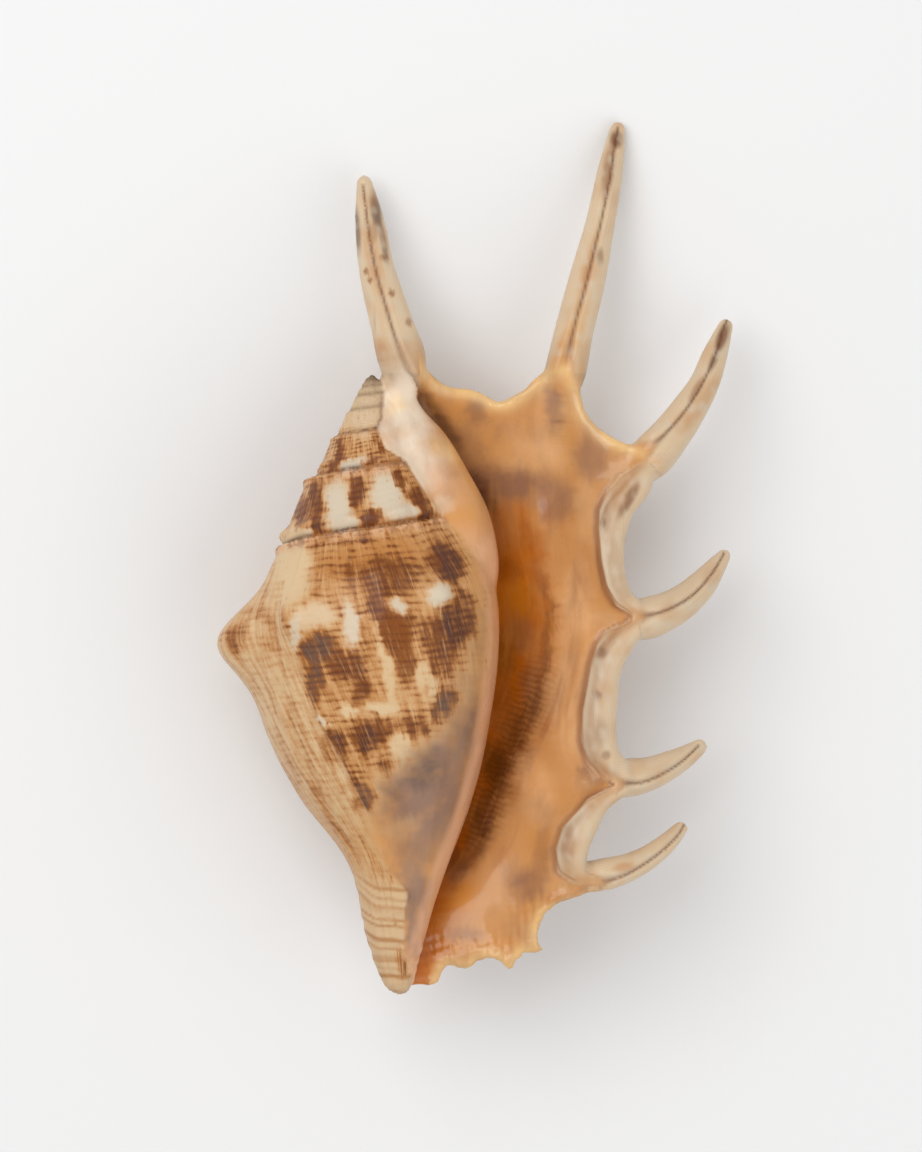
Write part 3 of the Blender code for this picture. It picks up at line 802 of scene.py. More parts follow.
STAIN_BLOTS = blots(  # the dark markings of the back and spire
    (Tone.BROWN, (-12.0, 113.4, 0.8, 1.4, 0, 0.8), (-13.2, 109.6, 1.2, 3.8, -22, 0.8),
    (-5.4, 115.2, 1.0, 1.6, 0, 0.8)), (Tone.GOLDEN, (-3.8, 112.8, 1.2, 2.0, -10, 0.7)),
    (Tone.BROWN, (-6.8, 109.9, 2.1, 1.2, 10, 0.9), (-17.2, 101.4, 1.7, 5.2, -6, 0.8)),
    (Tone.PLUM, (-16.3, 96.2, 1.5, 1.6, 0, 0.8)), (Tone.BROWN, (-8.9, 103.6, 1.8, 4.0, 0, 1.0),
    (-5.8, 98.0, 2.3, 2.1, 10, 1.0), (0.2, 106.4, 1.3, 3.0, 18, 0.9), (3.9, 102.0, 2.1, 2.8, 35, 0.95)),
    (Tone.PLUM, (5.2, 98.8, 1.7, 1.3, 12, 0.9)), (Tone.BROWN, (-20.4, 99.5, 1.3, 3.6, 0, 0.7),
    (-15.9, 93.4, 1.7, 1.1, 0, 0.75)), (Tone.PLUM, (-8.0, 94.1, 1.7, 1.0, 8, 0.8),
    (4.6, 97.7, 1.3, 0.9, 0, 0.7)), (Tone.BROWN, (-11.5, 93.2, 1.2, 0.9, 0, 0.5),
    (-2.0, 95.2, 1.2, 0.9, 0, 0.5)), (Tone.GOLDEN, (-7.0, 88.0, 9.0, 2.4, 8, 0.4)),
    (Tone.BROWN, (-2.6, 85.6, 6.4, 4.0, 8, 0.62), (-2.2, 84.4, 3.0, 2.4, 8, 0.3)),
    (Tone.PLUM, (10.0, 88.6, 2.8, 5.2, 28, 0.95)), (Tone.BROWN, (6.2, 88.8, 2.6, 2.2, 0, 0.5)),
    (Tone.PLUM, (11.6, 75.4, 4.8, 5.4, 0, 0.9), (13.6, 80.0, 2.4, 4.0, 0, 0.8)),
    (Tone.BROWN, (6.4, 75.0, 2.6, 3.6, 0, 0.6)), (Tone.GOLDEN, (-0.6, 75.0, 3.6, 5.4, 0, 1.0),
    (1.2, 69.0, 2.4, 4.6, 0, 0.7)), (Tone.BROWN, (-4.8, 79.6, 2.2, 3.0, 0, 0.6)),
    (Tone.SLATE, (-16.8, 71.4, 4.0, 3.4, 20, 0.95)), (Tone.BROWN, (-11.0, 68.2, 4.4, 3.2, 20, 0.75)),
    (Tone.SLATE, (-17.4, 64.0, 2.0, 5.0, 0, 0.7)), (Tone.BROWN, (-8.0, 63.4, 2.0, 4.6, 0, 0.6),
    (8.6, 67.6, 2.8, 5.0, 0, 0.6), (-33.6, 73.4, 2.4, 3.6, 0, 0.85)),
    (Tone.SLATE, (-33.0, 72.4, 2.0, 2.2, 0, 0.7)), (Tone.BROWN, (-29.4, 78.6, 2.2, 1.8, 30, 0.6),
    (-26.2, 74.0, 1.6, 4.0, 0, 0.3), (-22.4, 56.0, 1.2, 7.0, 14, 0.34), (-21.6, 45.0, 1.0, 5.0, 26, 0.4)),
    (Tone.PLUM, (-13.6, 50.6, 2.8, 4.4, 10, 1.0)), (Tone.BROWN, (-6.0, 54.0, 5.0, 2.8, 8, 0.8)),
    (Tone.PLUM, (-6.6, 52.4, 2.0, 3.0, 0, 0.6)), (Tone.BROWN, (2.6, 55.4, 3.6, 2.2, 0, 0.6)),
    (Tone.SLATE, (9.8, 59.4, 3.0, 3.8, 0, 1.0)), (Tone.BROWN, (-2.8, 46.4, 1.8, 2.0, 0, 0.6),
    (-10.8, 44.2, 1.6, 2.2, 20, 0.7)), (Tone.PLUM, (-7.6, 40.8, 2.4, 3.8, 22, 1.0)),
    (Tone.SLATE, (-7.6, 41.0, 1.8, 3.0, 22, 1.0)), (Tone.PLUM, (-14.0, 51.0, 1.8, 3.4, 10, 0.9)),
    (Tone.BROWN, (-16.0, 40.0, 1.2, 4.6, 32, 0.6), (-12.4, 33.4, 1.0, 4.0, 34, 0.6)),
    (Tone.TAN, (-4.0, 22.0, 2.6, 5.0, 0, 0.6)), (Tone.BROWN, (-3.4, 16.8, 3.2, 1.2, -24, 0.35)),
    (Tone.PLUM, (0.2, 6.0, 1.4, 3.2, 6, 0.9)), (Tone.BROWN, (-2.0, 8.4, 2.2, 2.0, -20, 0.6)),
)

CALLUS_BLOTS = blots(  # the callus
    (Tone.MILK, (0.2, 121.0, 7.0, 15.0, 0, 1.0)), (Tone.GOLD, (-1.2, 121.6, 2.2, 2.4, 0, 0.45)),
    (Tone.MILK, (5.5, 108.0, 4.5, 5.0, 30, 0.8)), (Tone.ROSE, (9.5, 105.0, 3.4, 6.0, 35, 0.5)),
    (Tone.MILK, (8.6, 100.6, 2.4, 2.2, 0, 0.6)), (Tone.AMBER, (13.6, 94.0, 5.0, 8.0, 30, 0.7),
    (13.6, 86.0, 5.0, 9.0, 0, 0.6)), (Tone.SLATE, (15.6, 74.0, 3.4, 8.0, 0, 0.5)),
    (Tone.GOLD, (9.0, 112.0, 2.0, 4.0, 38, 0.35)), (Tone.TAUPE, (11.0, 54.0, 6.5, 10.0, 10, 0.9)),
    (Tone.SLATE, (12.0, 60.0, 5.0, 8.0, 10, 0.6)), (Tone.TAUPE, (12.4, 62.0, 4.0, 7.0, 10, 0.95),
    (5.0, 42.0, 9.5, 12.0, 20, 1.0)), (Tone.SMOKE, (3.0, 38.0, 7.0, 9.0, 20, 0.35)),
    (Tone.SLATE, (4.8, 47.0, 5.0, 4.6, 20, 0.85), (-2.0, 42.0, 3.2, 2.6, 0, 0.5)),
    (Tone.STRAW, (0.6, 34.4, 4.2, 2.2, 20, 0.35)), (Tone.SLATE, (3.0, 28.0, 4.0, 4.0, 20, 0.4)),
    (Tone.TAUPE, (2.6, 22.0, 3.0, 6.0, 0, 0.9)), (Tone.SLATE, (1.8, 19.0, 1.4, 3.6, 0, 0.5)),
    (Tone.TAUPE, (2.8, 12.0, 1.6, 6.0, 0, 0.8)),
)

LIP_BLOTS = blots(  # the lip's inner face
    (Tone.BONE, (-4.5, 127.5, 6.5, 7.0, 0, 1.0)), (Tone.AMBER, (10.0, 121.0, 6.0, 3.4, -10, 0.55),
    (25.0, 119.8, 9.0, 2.6, 0, 0.5), (41.0, 112.0, 5.0, 3.2, -30, 0.4)),
    (Tone.SMOKE, (15.4, 120.6, 2.4, 2.6, 0, 0.6), (31.6, 121.0, 2.0, 6.0, 10, 0.7),
    (24.5, 105.0, 11.0, 4.0, -6, 0.85), (33.0, 100.6, 6.0, 3.6, 0, 0.6), (39.4, 110.6, 4.2, 5.0, 0, 0.6)),
    # umber along the callus's right edge: painted shade in the channel where the first digit's seam opens
    # into the lip
    (Tone.UMBER, (6.4, 118.4, 2.8, 10.0, 38, 0.75), (1.8, 127.4, 1.5, 5.0, 28, 0.7),
    (15.8, 103.2, 3.4, 7.0, 32, 0.85)), (Tone.ORANGE, (23.0, 98.0, 5.0, 4.0, 0, 0.55)),
    (Tone.RUST, (27.4, 93.6, 3.0, 4.0, 20, 0.6)), (Tone.APRICOT, (36.4, 76.0, 4.0, 14.0, 0, 0.8),
    (34.0, 60.0, 4.0, 12.0, 8, 0.85), (28.0, 42.0, 4.0, 9.0, 20, 0.6), (27.0, 111.0, 8.0, 4.0, 0, 0.4),
    (38.0, 99.0, 2.4, 7.0, 0, 0.5)), (Tone.SMOKE, (39.6, 45.2, 3.0, 1.8, 0, 0.7),
    (26.4, 22.6, 4.6, 3.0, 35, 0.75), (23.8, 63.6, 3.0, 5.0, 10, 0.4)),
    (Tone.AMBER, (29.0, 31.0, 4.0, 4.0, 0, 0.45)), (Tone.HONEY, (11.0, 19.0, 6.0, 3.6, 50, 0.55)),
    (Tone.TAN, (9.0, 13.0, 4.0, 5.0, 0, 0.8)), (Tone.SMOKE, (13.0, 12.4, 4.0, 1.6, 10, 0.5)),
    (Tone.AMBER, (16.0, 9.6, 10.0, 1.8, 0, 0.6)), (Tone.TAN, (31.6, 19.4, 2.6, 2.0, 30, 0.7)),
    (Tone.SMOKE, (29.4, 30.0, 2.0, 5.0, -8, 0.4)),
)

DEEP_BLOTS = blots(  # inside, beyond the fold
    (Tone.ORANGE, (24.5, 96.0, 5.0, 6.0, 0, 0.9)), (Tone.HONEY, (24.4, 81.0, 3.6, 5.0, -20, 0.8)),
    (Tone.RUST, (22.6, 87.4, 3.0, 2.6, 0, 0.8), (28.4, 84.0, 2.4, 8.0, 0, 0.6)),
    (Tone.SMOKE, (25.0, 74.2, 4.0, 4.0, 20, 0.7)), (Tone.UMBER, (21.0, 70.0, 3.0, 5.0, 0, 0.6)),
    (Tone.PEACH, (27.6, 69.6, 2.0, 4.0, 20, 0.5)), (Tone.TAUPE, (27.4, 62.0, 2.6, 6.0, 10, 0.7)),
    (Tone.RUST, (21.6, 58.0, 3.0, 8.0, 10, 0.6)), (Tone.UMBER, (20.0, 46.0, 2.6, 6.0, 16, 0.9)),
    (Tone.SLATE, (16.6, 35.0, 2.6, 5.0, 24, 0.85)), (Tone.UMBER, (12.0, 26.0, 3.0, 4.0, 30, 0.6)),
)

ROLL_BLOTS = blots(  # the rolled rim and the digits
    (Tone.BROWN, (41.1, 70.5, 1.5, 1.3, 0, 0.6)), (Tone.SLATE, (40.4, 61.7, 1.2, 0.9, 0, 0.85)),
    (Tone.TAUPE, (41.4, 54.0, 1.6, 3.0, 0, 0.4)), (Tone.BROWN, (42.4, 49.4, 1.0, 1.0, 0, 0.5),
    (41.4, 81.6, 0.9, 1.4, -20, 0.75), (41.7, 97.2, 0.7, 1.1, 0, 0.7),
    (47.0, 102.0, 1.2, 4.6, -30, 0.75)), (Tone.TAUPE, (34.4, 31.0, 1.6, 3.6, 0, 0.5)),
    (Tone.BROWN, (36.2, 40.0, 1.0, 1.6, -30, 0.5)), (Tone.TAN, (46.0, 26.4, 2.4, 1.0, 10, 0.5)),
    (Tone.PLUM, (-9.0, 157.5, 0.9, 5.4, 4, 0.7), (-5.0, 161.5, 1.2, 4.0, 8, 0.75),
    (-3.4, 155.0, 0.7, 5.0, 10, 0.6)), (Tone.GOLDEN, (-5.4, 157.0, 1.0, 2.4, 0, 0.4),
    (-3.3, 151.8, 1.0, 0.7, 0, 0.6), (-7.0, 148.9, 0.6, 0.6, 0, 0.8), (-6.2, 147.1, 0.6, 0.5, 0, 0.8),
    (-1.7, 144.4, 0.7, 0.8, 0, 0.8), (1.8, 138.4, 0.7, 0.9, 0, 0.6)),
    (Tone.TAN, (-3.6, 131.6, 1.6, 3.6, 14, 0.5)), (Tone.AMBER, (33.6, 132.0, 1.8, 8.0, -22, 0.75),
    (47.4, 110.6, 3.0, 1.4, 40, 0.6)), (Tone.TAN, (38.6, 149.0, 1.2, 9.0, -14, 0.5),
    (-5.4, 151.0, 1.6, 9.0, 12, 0.45), (62.0, 122.0, 1.6, 7.0, -32, 0.4)),
    (Tone.STRAW, (36.6, 138.0, 1.8, 8.0, -14, 0.6)), (Tone.BROWN, (44.6, 176.4, 1.4, 2.0, 0, 0.8)),
    (Tone.GOLDEN, (43.0, 170.0, 1.4, 6.0, -8, 0.6)), (Tone.BROWN, (41.2, 152.0, 0.8, 2.0, 0, 0.5),
    (66.4, 135.4, 1.2, 3.4, -20, 0.8)), (Tone.SLATE, (64.8, 131.0, 0.9, 3.0, -22, 0.6)),
    (Tone.GOLDEN, (61.0, 124.6, 0.8, 3.0, -30, 0.5)),
)


FAR_AWAY = 99.0


@dataclass
class Places:
    """Everything known about each vertex of the shell, in the shell's own axes."""

    co: Array
    normal: Array
    coil: Coil
    lip: Lip
    angle: Array = field(init=False)
    gap: Array = field(init=False)
    seam: Array = field(init=False)
    seam_width: Array = field(init=False)
    on_digit: Array = field(init=False)
    on_roll: Array = field(init=False)
    across: Array = field(init=False)
    outside: Array = field(init=False)
    callus: Array = field(init=False)
    inner: Array = field(init=False)
    apex: Array = field(init=False)

    def __post_init__(self) -> None:
        """Measure each vertex against the shell's forms."""
        x, y, z = self.co.T
        self.angle, self.gap = self.coil.around(x, y, z)
        self.apex = (np.abs(self.gap) < 1.0) & (x < -3.3) & (y > 112) & (y < 129.5)
        self.measure_digits(x, y, z)
        middle = self.lip.depth(x, y)
        self.outside = 1 - soft_step(z - middle, -0.8, 0.8)
        past = x - curve_x(INNER_EDGE, y)
        roll = soft_step(past, -0.15, 0.35) * soft_step(-y, -110.5, -109.0) * soft_step(y, 21.5, 23.0)
        self.on_roll = roll * (z > -16)
        self.across = np.where(self.on_digit > 0.5, self.across, past)
        body = soft_step(-self.gap, -2.4, -1.2) * soft_step(self.angle, -30, -12) * (z > -14)
        past_callus = x - curve_x(CALLUS_EDGE, y)
        blur = 0.3 + 4.4 * soft_step(y, 25, 44) * soft_step(-y, -100, -86)
        past_callus = past_callus + 0.5 * blur * ripple(0.9 * y, 1.7 * y + x, 0.6 * x - 0.5 * y)
        callus = np.clip(0.5 + past_callus / (2 * blur), 0.0, 1.0)
        lobe = soft_step(z - middle, 3.0, 6.0) * (x < 26) * (y > 60)
        lobe = lobe * soft_step(curve_x(FOLD_EDGE, y) - x, 3.0, 5.0)
        on_body = np.maximum(np.maximum(body, lobe), self.apex)
        self.callus = on_body * callus * (1 - self.on_digit)
        self.inner = (1 - on_body) * (1 - self.outside)
        self.inner *= (1 - self.on_roll) * (1 - self.on_digit)

    def measure_digits(self, x: Array, y: Array, z: Array) -> None:
        """Find each vertex's digit, its side of the digit's middle, and its distance to the seam.

        Args:
            x: X of the vertices.
            y: Y of the vertices.
            z: Z of the vertices.
        """
        self.seam = np.full(len(x), FAR_AWAY)
        self.seam_width = np.ones(len(x))
        self.on_digit = np.zeros(len(x))
        self.across = np.zeros(len(x))
        for digit in DIGITS:
            away, share, across = Trail(digit.stations).measure(x, y)
            width = np.interp(share, np.linspace(0, 1, len(digit.stations)), [s[3] for s in digit.stations])
            held = (away < width + 1.2) * soft_step(-share, -1.0, -0.74) * (1 - self.apex)
            self.across = np.where(held > self.on_digit, across, self.across)
            self.on_digit = np.maximum(self.on_digit, held)
            off, along, _ = Trail(digit.seam).measure(x, y)
            off = np.where((z > -24) & (self.normal[:, 2] > -0.1), off, FAR_AWAY)
            closer = off < self.seam
            self.seam = np.where(closer, off, self.seam)
            opening = 0.34 + 0.25 * along + digit.opening * soft_step(along, 0.62, 1.0)
            self.seam_width = np.where(closer, opening, self.seam_width)
        mouth = soft_step(self.seam_width, 0.8, 1.7) * soft_step(-self.seam / self.seam_width, -1.15, -0.5)
        self.on_digit = self.on_digit * (1 - mouth)


THROUGH_LIGHT = (0.096, 0.029, 0.001)  # what comes through the thin shell into its hollow


class ShellSurface:
    """Turns the joined forms into the finished shell: relief first, then colour."""

    def __init__(self, coil: Coil, lip: Lip) -> None:
        """Keep the forms that the relief and the colours follow."""
        self.coil = coil
        self.lip = lip

    def carve(self, piece: bpy.types.Object) -> None:
        """Move the skin in or out along its normals for seams, sutures, knobs, edges and folds.

        Args:
            piece: the joined shell, in its own axes.
        """
        co, normal = vertex_places(piece), vertex_normals(piece)
        known = Places(co, normal, self.coil, self.lip)
        x, y, z = co.T
        front = soft_step(normal[:, 2], -0.1, 0.25)
        body = soft_step(-np.abs(known.gap), -1.6, -0.9) * (known.angle > 0) * (z > -30)
        bare = body * (1 - known.callus)
        height = self.coil.relief(known.angle, y) * bare
        inside_seam = (known.on_digit + known.on_roll + known.inner > 0.2) * front
        deep = 0.62 + 0.55 * soft_step(known.seam_width, 0.7, 3.0)
        height -= deep * hump(known.seam, known.seam_width * 0.75) * inside_seam
        lips = hump(known.seam - 1.9 * known.seam_width, 0.5) * (known.seam_width < 1.2)
        height += 0.14 * lips * inside_seam
        past = x - curve_x(INNER_EDGE, y)
        rolled = soft_step(-y, -109.5, -108.0) * soft_step(y, 22.5, 24.0) * front * (z > -12)
        height -= 0.5 * hump(past + 0.55, 0.5) * rolled
        height += 0.32 * hump(past - 0.35, 0.45) * rolled
        inner = known.inner * front
        for offset, amount in ((2.6, 0.16), (4.2, 0.12)):
            height += amount * hump(past + offset, 0.45) * inner * hump(y - 61, 9.0)
        band = x - curve_x(FOLD_EDGE, y)
        height += 0.35 * hump(band, 1.6) * inner * soft_step(y, 24, 34)
        over = x - curve_x(CALLUS_EDGE, y)
        crisp = 1 - soft_step(y, 24, 40) * soft_step(-y, -104, -98)
        height += 0.32 * soft_step(over, -0.3, 0.4) * np.exp(-np.clip(over, 0, None) / 3.5) * body * crisp
        height += 0.14 * ripple(0.42 * x + 0.2 * y, 0.31 * y, 0.27 * x - 0.35 * y) * inner
        nibbled = hump(y - 8.0, 3.0) * (x > 2) + hump(np.hypot(x - 29.5, y - 15.5), 4.0)
        height += 0.22 * nibbled * ripple(2.3 * x + y, 3.1 * y - x, 4.0 * x) * (known.outside < 0.9)
        place_vertices(piece, co + normal * height[:, None])

    def paint(self, piece: bpy.types.Object) -> None:
        """Store the colours and pattern strengths that the finish reads.

        Args:
            piece: the finished skin, in its own axes.
        """
        co, normal = vertex_places(piece), vertex_normals(piece)
        known = Places(co, normal, self.coil, self.lip)
        x, y, z = co.T
        wx = x + 0.9 * ripple(0.55 * y, 0.4 * x + 0.6 * y, 1.3 * y + 0.3 * z, 2.9 * y)
        wy = y + 1.1 * ripple(0.5 * x, 0.6 * x - 0.3 * y, 1.2 * x + 0.4 * z, 3.1 * x, 4.7 * x + y)
        front = soft_step(z, -6.0, -1.0)
        ground = np.tile(Tone.STRAW.linear(), (len(x), 1))
        ground = self.lay(ground, GROUND_BLOTS, wx, wy, front)
        old = 1 - soft_step(self.coil.past_ridge(known.angle, y), -2.0, 1.0)
        ground = self.mix(ground, Tone.CREAM, 0.75 * old * soft_step(y, 30, 45))
        below, above, whorl = self.coil.near_sutures(known.angle, y)
        size = np.clip((self.coil.apex_y - y) / 26.0, 0.2, 1.0)
        crest = hump(below - 1.3 * size, 0.8 * size) * soft_step(-y, -119, -112)
        ground = self.mix(ground, Tone.ROSE, 0.7 * crest)
        ground = self.mix(ground, Tone.BROWN, 0.55 * crest * (ripple(21 * wx, 0.9 * wx, 2.3 * wx) > 0.15))
        # umber along each suture: dirt in the groove and painted shade
        suture_dirt_and_shade = hump(below - 0.05, 0.34) + 0.6 * hump(above, 0.3)
        ground = self.mix(ground, Tone.UMBER, np.clip(0.85 * suture_dirt_and_shade, 0, 1) * (0.55 + 0.45 * (whorl > -3)))
        sag = y + 0.30 * x - 0.05 * (x + 4.0) ** 2 + 0.5 * ripple(0.9 * x, 0.7 * y)
        arcs = ripple(3.1 * sag, 4.3 * sag, 1.7 * sag)
        arcs = soft_step(arcs, -0.15, 0.85) * soft_step(-y, -29, -20) * front
        ground = self.mix(ground, Tone.BONE, 0.5 * soft_step(-y, -30, -18) * front)
        ground = self.mix(self.mix(ground, Tone.TAN, 0.75 * arcs), Tone.BROWN, 0.20 * arcs)
        stain, amount = self.back_stains(known, wx, wy, front)
        amount = amount * (1 - 0.45 * old * (y < 90)) * (1 - 0.5 * crest) * soft_step(-y, -121, -113)
        amount = amount - 0.45 * soft_step(-y, -28, -20) * front
        callus = self.lay(np.tile(Tone.PEACH.linear(), (len(x), 1)), CALLUS_BLOTS, wx, wy)
        rim_band = soft_step(x - self.columella_x(y), -3.6, -1.8)
        callus = self.mix(callus, Tone.ROSE, 0.85 * rim_band * soft_step(-y, -100, -90))
        inner = self.paint_inside(wx, wy)
        pale = self.lay(np.tile(Tone.BONE.linear(), (len(x), 1)), ROLL_BLOTS, x, y)
        greyed = hump(known.across - 2.0, 1.5) * known.on_roll * (1 - known.on_digit)
        pale = self.mix(pale, Tone.TAUPE, 0.42 * greyed)
        # a thin white line along the rolled rim's inner edge: painted highlight
        pale = self.mix(pale, Tone.WHITE, 0.8 * hump(known.across - 0.45, 0.4) * (1 - known.on_digit))
        clear = soft_step(ripple(0.9 * y + 0.4 * x, 0.55 * x - 0.8 * y, 1.7 * y, 2.3 * x + 0.6 * y), 0.0, 0.7)
        pale = self.mix(pale, Tone.WHITE, 0.55 * clear)
        dusty = soft_step(ripple(0.5 * x + 0.3 * y, 0.8 * y, x - 0.4 * y), 0, 0.8)
        pale = self.mix(pale, Tone.TAN, 0.24 * dusty)
        on_pale = np.maximum(known.on_digit, known.on_roll)
        # a thin brown line along the callus's left edge near the spire: painted shade beside the raised edge
        edge = hump(x - curve_x(CALLUS_EDGE, y) + 0.3, 0.32)
        edge = edge * soft_step(y, 100, 104) * soft_step(-y, -125, -122) * front
        ground = self.mix(ground, Tone.BROWN, 0.6 * edge)
        light = ground
        for mask, layer in ((known.callus, callus), (known.inner, inner), (on_pale, pale)):
            light = light * (1 - mask[:, None]) + layer * mask[:, None]
        # a smoky line just inside the rolled rim's inner edge: painted shadow under the rim
        roll_shadow = hump(x - curve_x(INNER_EDGE, y) + 0.5, 0.45) * known.inner * soft_step(-y, -109, -107)
        light = self.mix(light, Tone.SMOKE, 0.7 * roll_shadow * soft_step(y, 23, 25))
        golden = self.edge_gold(known, x, y)
        light = self.mix(light, Tone.GOLD, golden)
        seam = hump(known.seam, known.seam_width * 0.42) * soft_step(-known.seam_width, -2.2, -0.8)
        seam = seam * on_pale * soft_step(normal[:, 2], -0.1, 0.2)
        light = self.mix(light, Tone.BROWN, 0.75 * seam)
        # amber where each seam widens into its mouth: painted shade in the open channel
        funnel_shade = hump(known.seam, known.seam_width * 0.8) * soft_step(known.seam_width, 0.8, 1.6)
        light = self.mix(light, Tone.AMBER, 0.5 * funnel_shade * on_pale)
        bare = (1 - known.callus) * (1 - known.inner) * (1 - on_pale)
        from_fold = x - curve_x(FOLD_EDGE, y)
        lirate = hump(from_fold + 2.4, 2.6) * known.inner * soft_step(y, 26, 36)
        lirate = lirate * soft_step(-y, -74, -60)
        corded = bare * soft_step(y, 18, 32) * (1 - 0.5 * old * (y < 90))
        kept = {
            "light": light.T,
            "glow": self.glow(known, x, y).T,
            "stain": stain.T,
            "pattern": (amount * bare, bare, on_pale),
            "finish": (known.inner, known.callus, lirate),
            "place": (x, y, z),
            "run": (known.across, corded, from_fold),
        }
        for name, values in kept.items():
            self.store(piece, name, values)

    def columella_x(self, y: Array) -> Array:
        """X of the body's right edge, where the callus ends."""
        return self.coil.axis_x(y) + self.coil.radius(np.zeros_like(y), y)

    def back_stains(self, known: Places, x: Array, y: Array, front: Array) -> tuple[Array, Array]:
        """The dark markings: their colour and how strong they are.

        Args:
            known: the vertices.
            x: X, slightly wavered.
            y: Y, slightly wavered.
            front: 1 on the aperture side.

        Returns:
            The stain colour and its strength at each vertex.
        """
        stain = np.tile(Tone.BROWN.linear(), (len(x), 1))
        amount = 0.37 * front
        for blot in STAIN_BLOTS:
            cover = blot.cover(x, y) * front
            stain = self.mix(stain, blot.tone, np.clip(1.6 * cover, 0, 1))
            amount = amount * (1 - 0.5 * cover) + cover * (1 - 0.5 * amount)
        for blot in GROUND_BLOTS:
            if blot.tone in (Tone.WHITE, Tone.CREAM, Tone.BONE):
                amount = amount - 0.62 * blot.cover(x, y) * front
        turn = np.radians(known.angle)
        mottle = ripple(6 * turn + 0.10 * y, 9 * turn - 0.16 * y, 0.17 * y + 0.11 * x, 0.23 * x - 0.12 * y)
        back = 0.40 + 0.55 * mottle
        return stain, np.clip(amount * front + back * (1 - front), -0.5, 1.0)

    def paint_inside(self, x: Array, y: Array) -> Array:
        """The colours of the lip's inner face and of the hollow beyond its fold, with painted shade along the
        fold.

        Args:
            x: X of the vertices, slightly wavered.
            y: Y of the vertices, slightly wavered.

        Returns:
            A colour for each vertex.
        """
        inner = np.tile(Tone.PEACH.linear(), (len(x), 1))
        inner = self.lay(inner, LIP_BLOTS, x, y)
        band = x - curve_x(FOLD_EDGE, y) + 1.0 * ripple(0.6 * y, 1.4 * y + 0.3 * x, 2.9 * y - 0.5 * x)
        beyond = soft_step(-band, -3.0, 5.0) * soft_step(-y + 0.5 * x, -90, -76)
        deep = np.tile(Tone.ORANGE.linear(), (len(x), 1))
        deep = self.lay(deep, DEEP_BLOTS, x, y)
        inner = inner * (1 - beyond[:, None]) + deep * beyond[:, None]
        # an umber band just beyond the fold, wider and stronger lower down: painted shade where the lip turns
        # into the hollow
        low = soft_step(-y, -66, -54)
        dark = hump(band + 0.5 + 1.2 * low, 0.7 + 1.5 * low) * soft_step(-y, -90, -80) * soft_step(y, 20, 32)
        return self.mix(inner, Tone.UMBER, (0.45 + 0.35 * low) * dark)

    def glow(self, known: Places, x: Array, y: Array) -> Array:
        """The light that comes through the thin shell into its hollow, as colours.

        Args:
            known: the vertices.
            x: their X.
            y: their Y.

        Returns:
            A faint orange inside, nothing elsewhere.
        """
        band = x - curve_x(FOLD_EDGE, y)
        beyond = soft_step(-band, -2.5, 4.5) * soft_step(-y + 0.5 * x, -88, -74) * known.inner
        amount = beyond * (0.50 + 0.40 * hump(y - 80, 14))
        amount = amount * (0.25 + 0.75 * soft_step(y, 12, 36))
        amount = amount * (1 + 0.30 * ripple(0.7 * x + 0.1 * y, 0.45 * y - 0.3 * x, 1.3 * x))
        return amount[:, None] * np.array(THROUGH_LIGHT)

    def edge_gold(self, known: Places, x: Array, y: Array) -> Array:
        """How strongly the thin rims glow golden.

        Args:
            known: the vertices.
            x: their X.
            y: their Y.

        Returns:
            A share for each vertex.
        """
        away, _, _ = Trail(self.lip.rim, 220).measure(x, y)
        top = soft_step(y, 109, 112) * (x > 4) * (1 - known.on_digit)
        low = soft_step(-y, -20, -17) * (x > 6)
        return np.clip(0.70 * hump(away, 1.1) * top + 0.6 * hump(away, 1.0) * low, 0, 1)

    @staticmethod
    def mix(colour: Array, tone: Tone, weight: Array) -> Array:
        """Blend a tone into colours by a weight for each."""
        return colour * (1 - weight[:, None]) + tone.linear() * weight[:, None]

    def lay(
        self, colour: Array, patches: tuple[Blot, ...], x: Array, y: Array, mask: Array | None = None
    ) -> Array:
        """Lay patches of colour over colours, one after another.

        Args:
            colour: the colours so far.
            patches: the patches.
            x: X of the vertices.
            y: Y of the vertices.
            mask: where they may lie, or None for everywhere.

        Returns:
            The new colours.
        """
        for blot in patches:
            cover = np.clip(blot.cover(x, y), 0, 1)
            colour = self.mix(colour, blot.tone, cover if mask is None else cover * mask)
        return colour

    @staticmethod
    def store(piece: bpy.types.Object, name: str, values: tuple | Array) -> None:
        """Keep three numbers for each vertex.

        Args:
            piece: the skin.
            name: what they are kept under.
            values: the first, second and third number of all vertices.
        """
        layer = piece.data.attributes.new(name, "FLOAT_VECTOR", "POINT")
        layer.data.foreach_set("vector", np.stack(values, axis=-1).astype(np.float32).ravel())


# The finish ------------------------------------------------------------------------------------------

FULL_TURN = 6.2832
FLOAT, VECTOR = "NodeSocketFloat", "NodeSocketVector"
Socket = bpy.types.NodeSocket


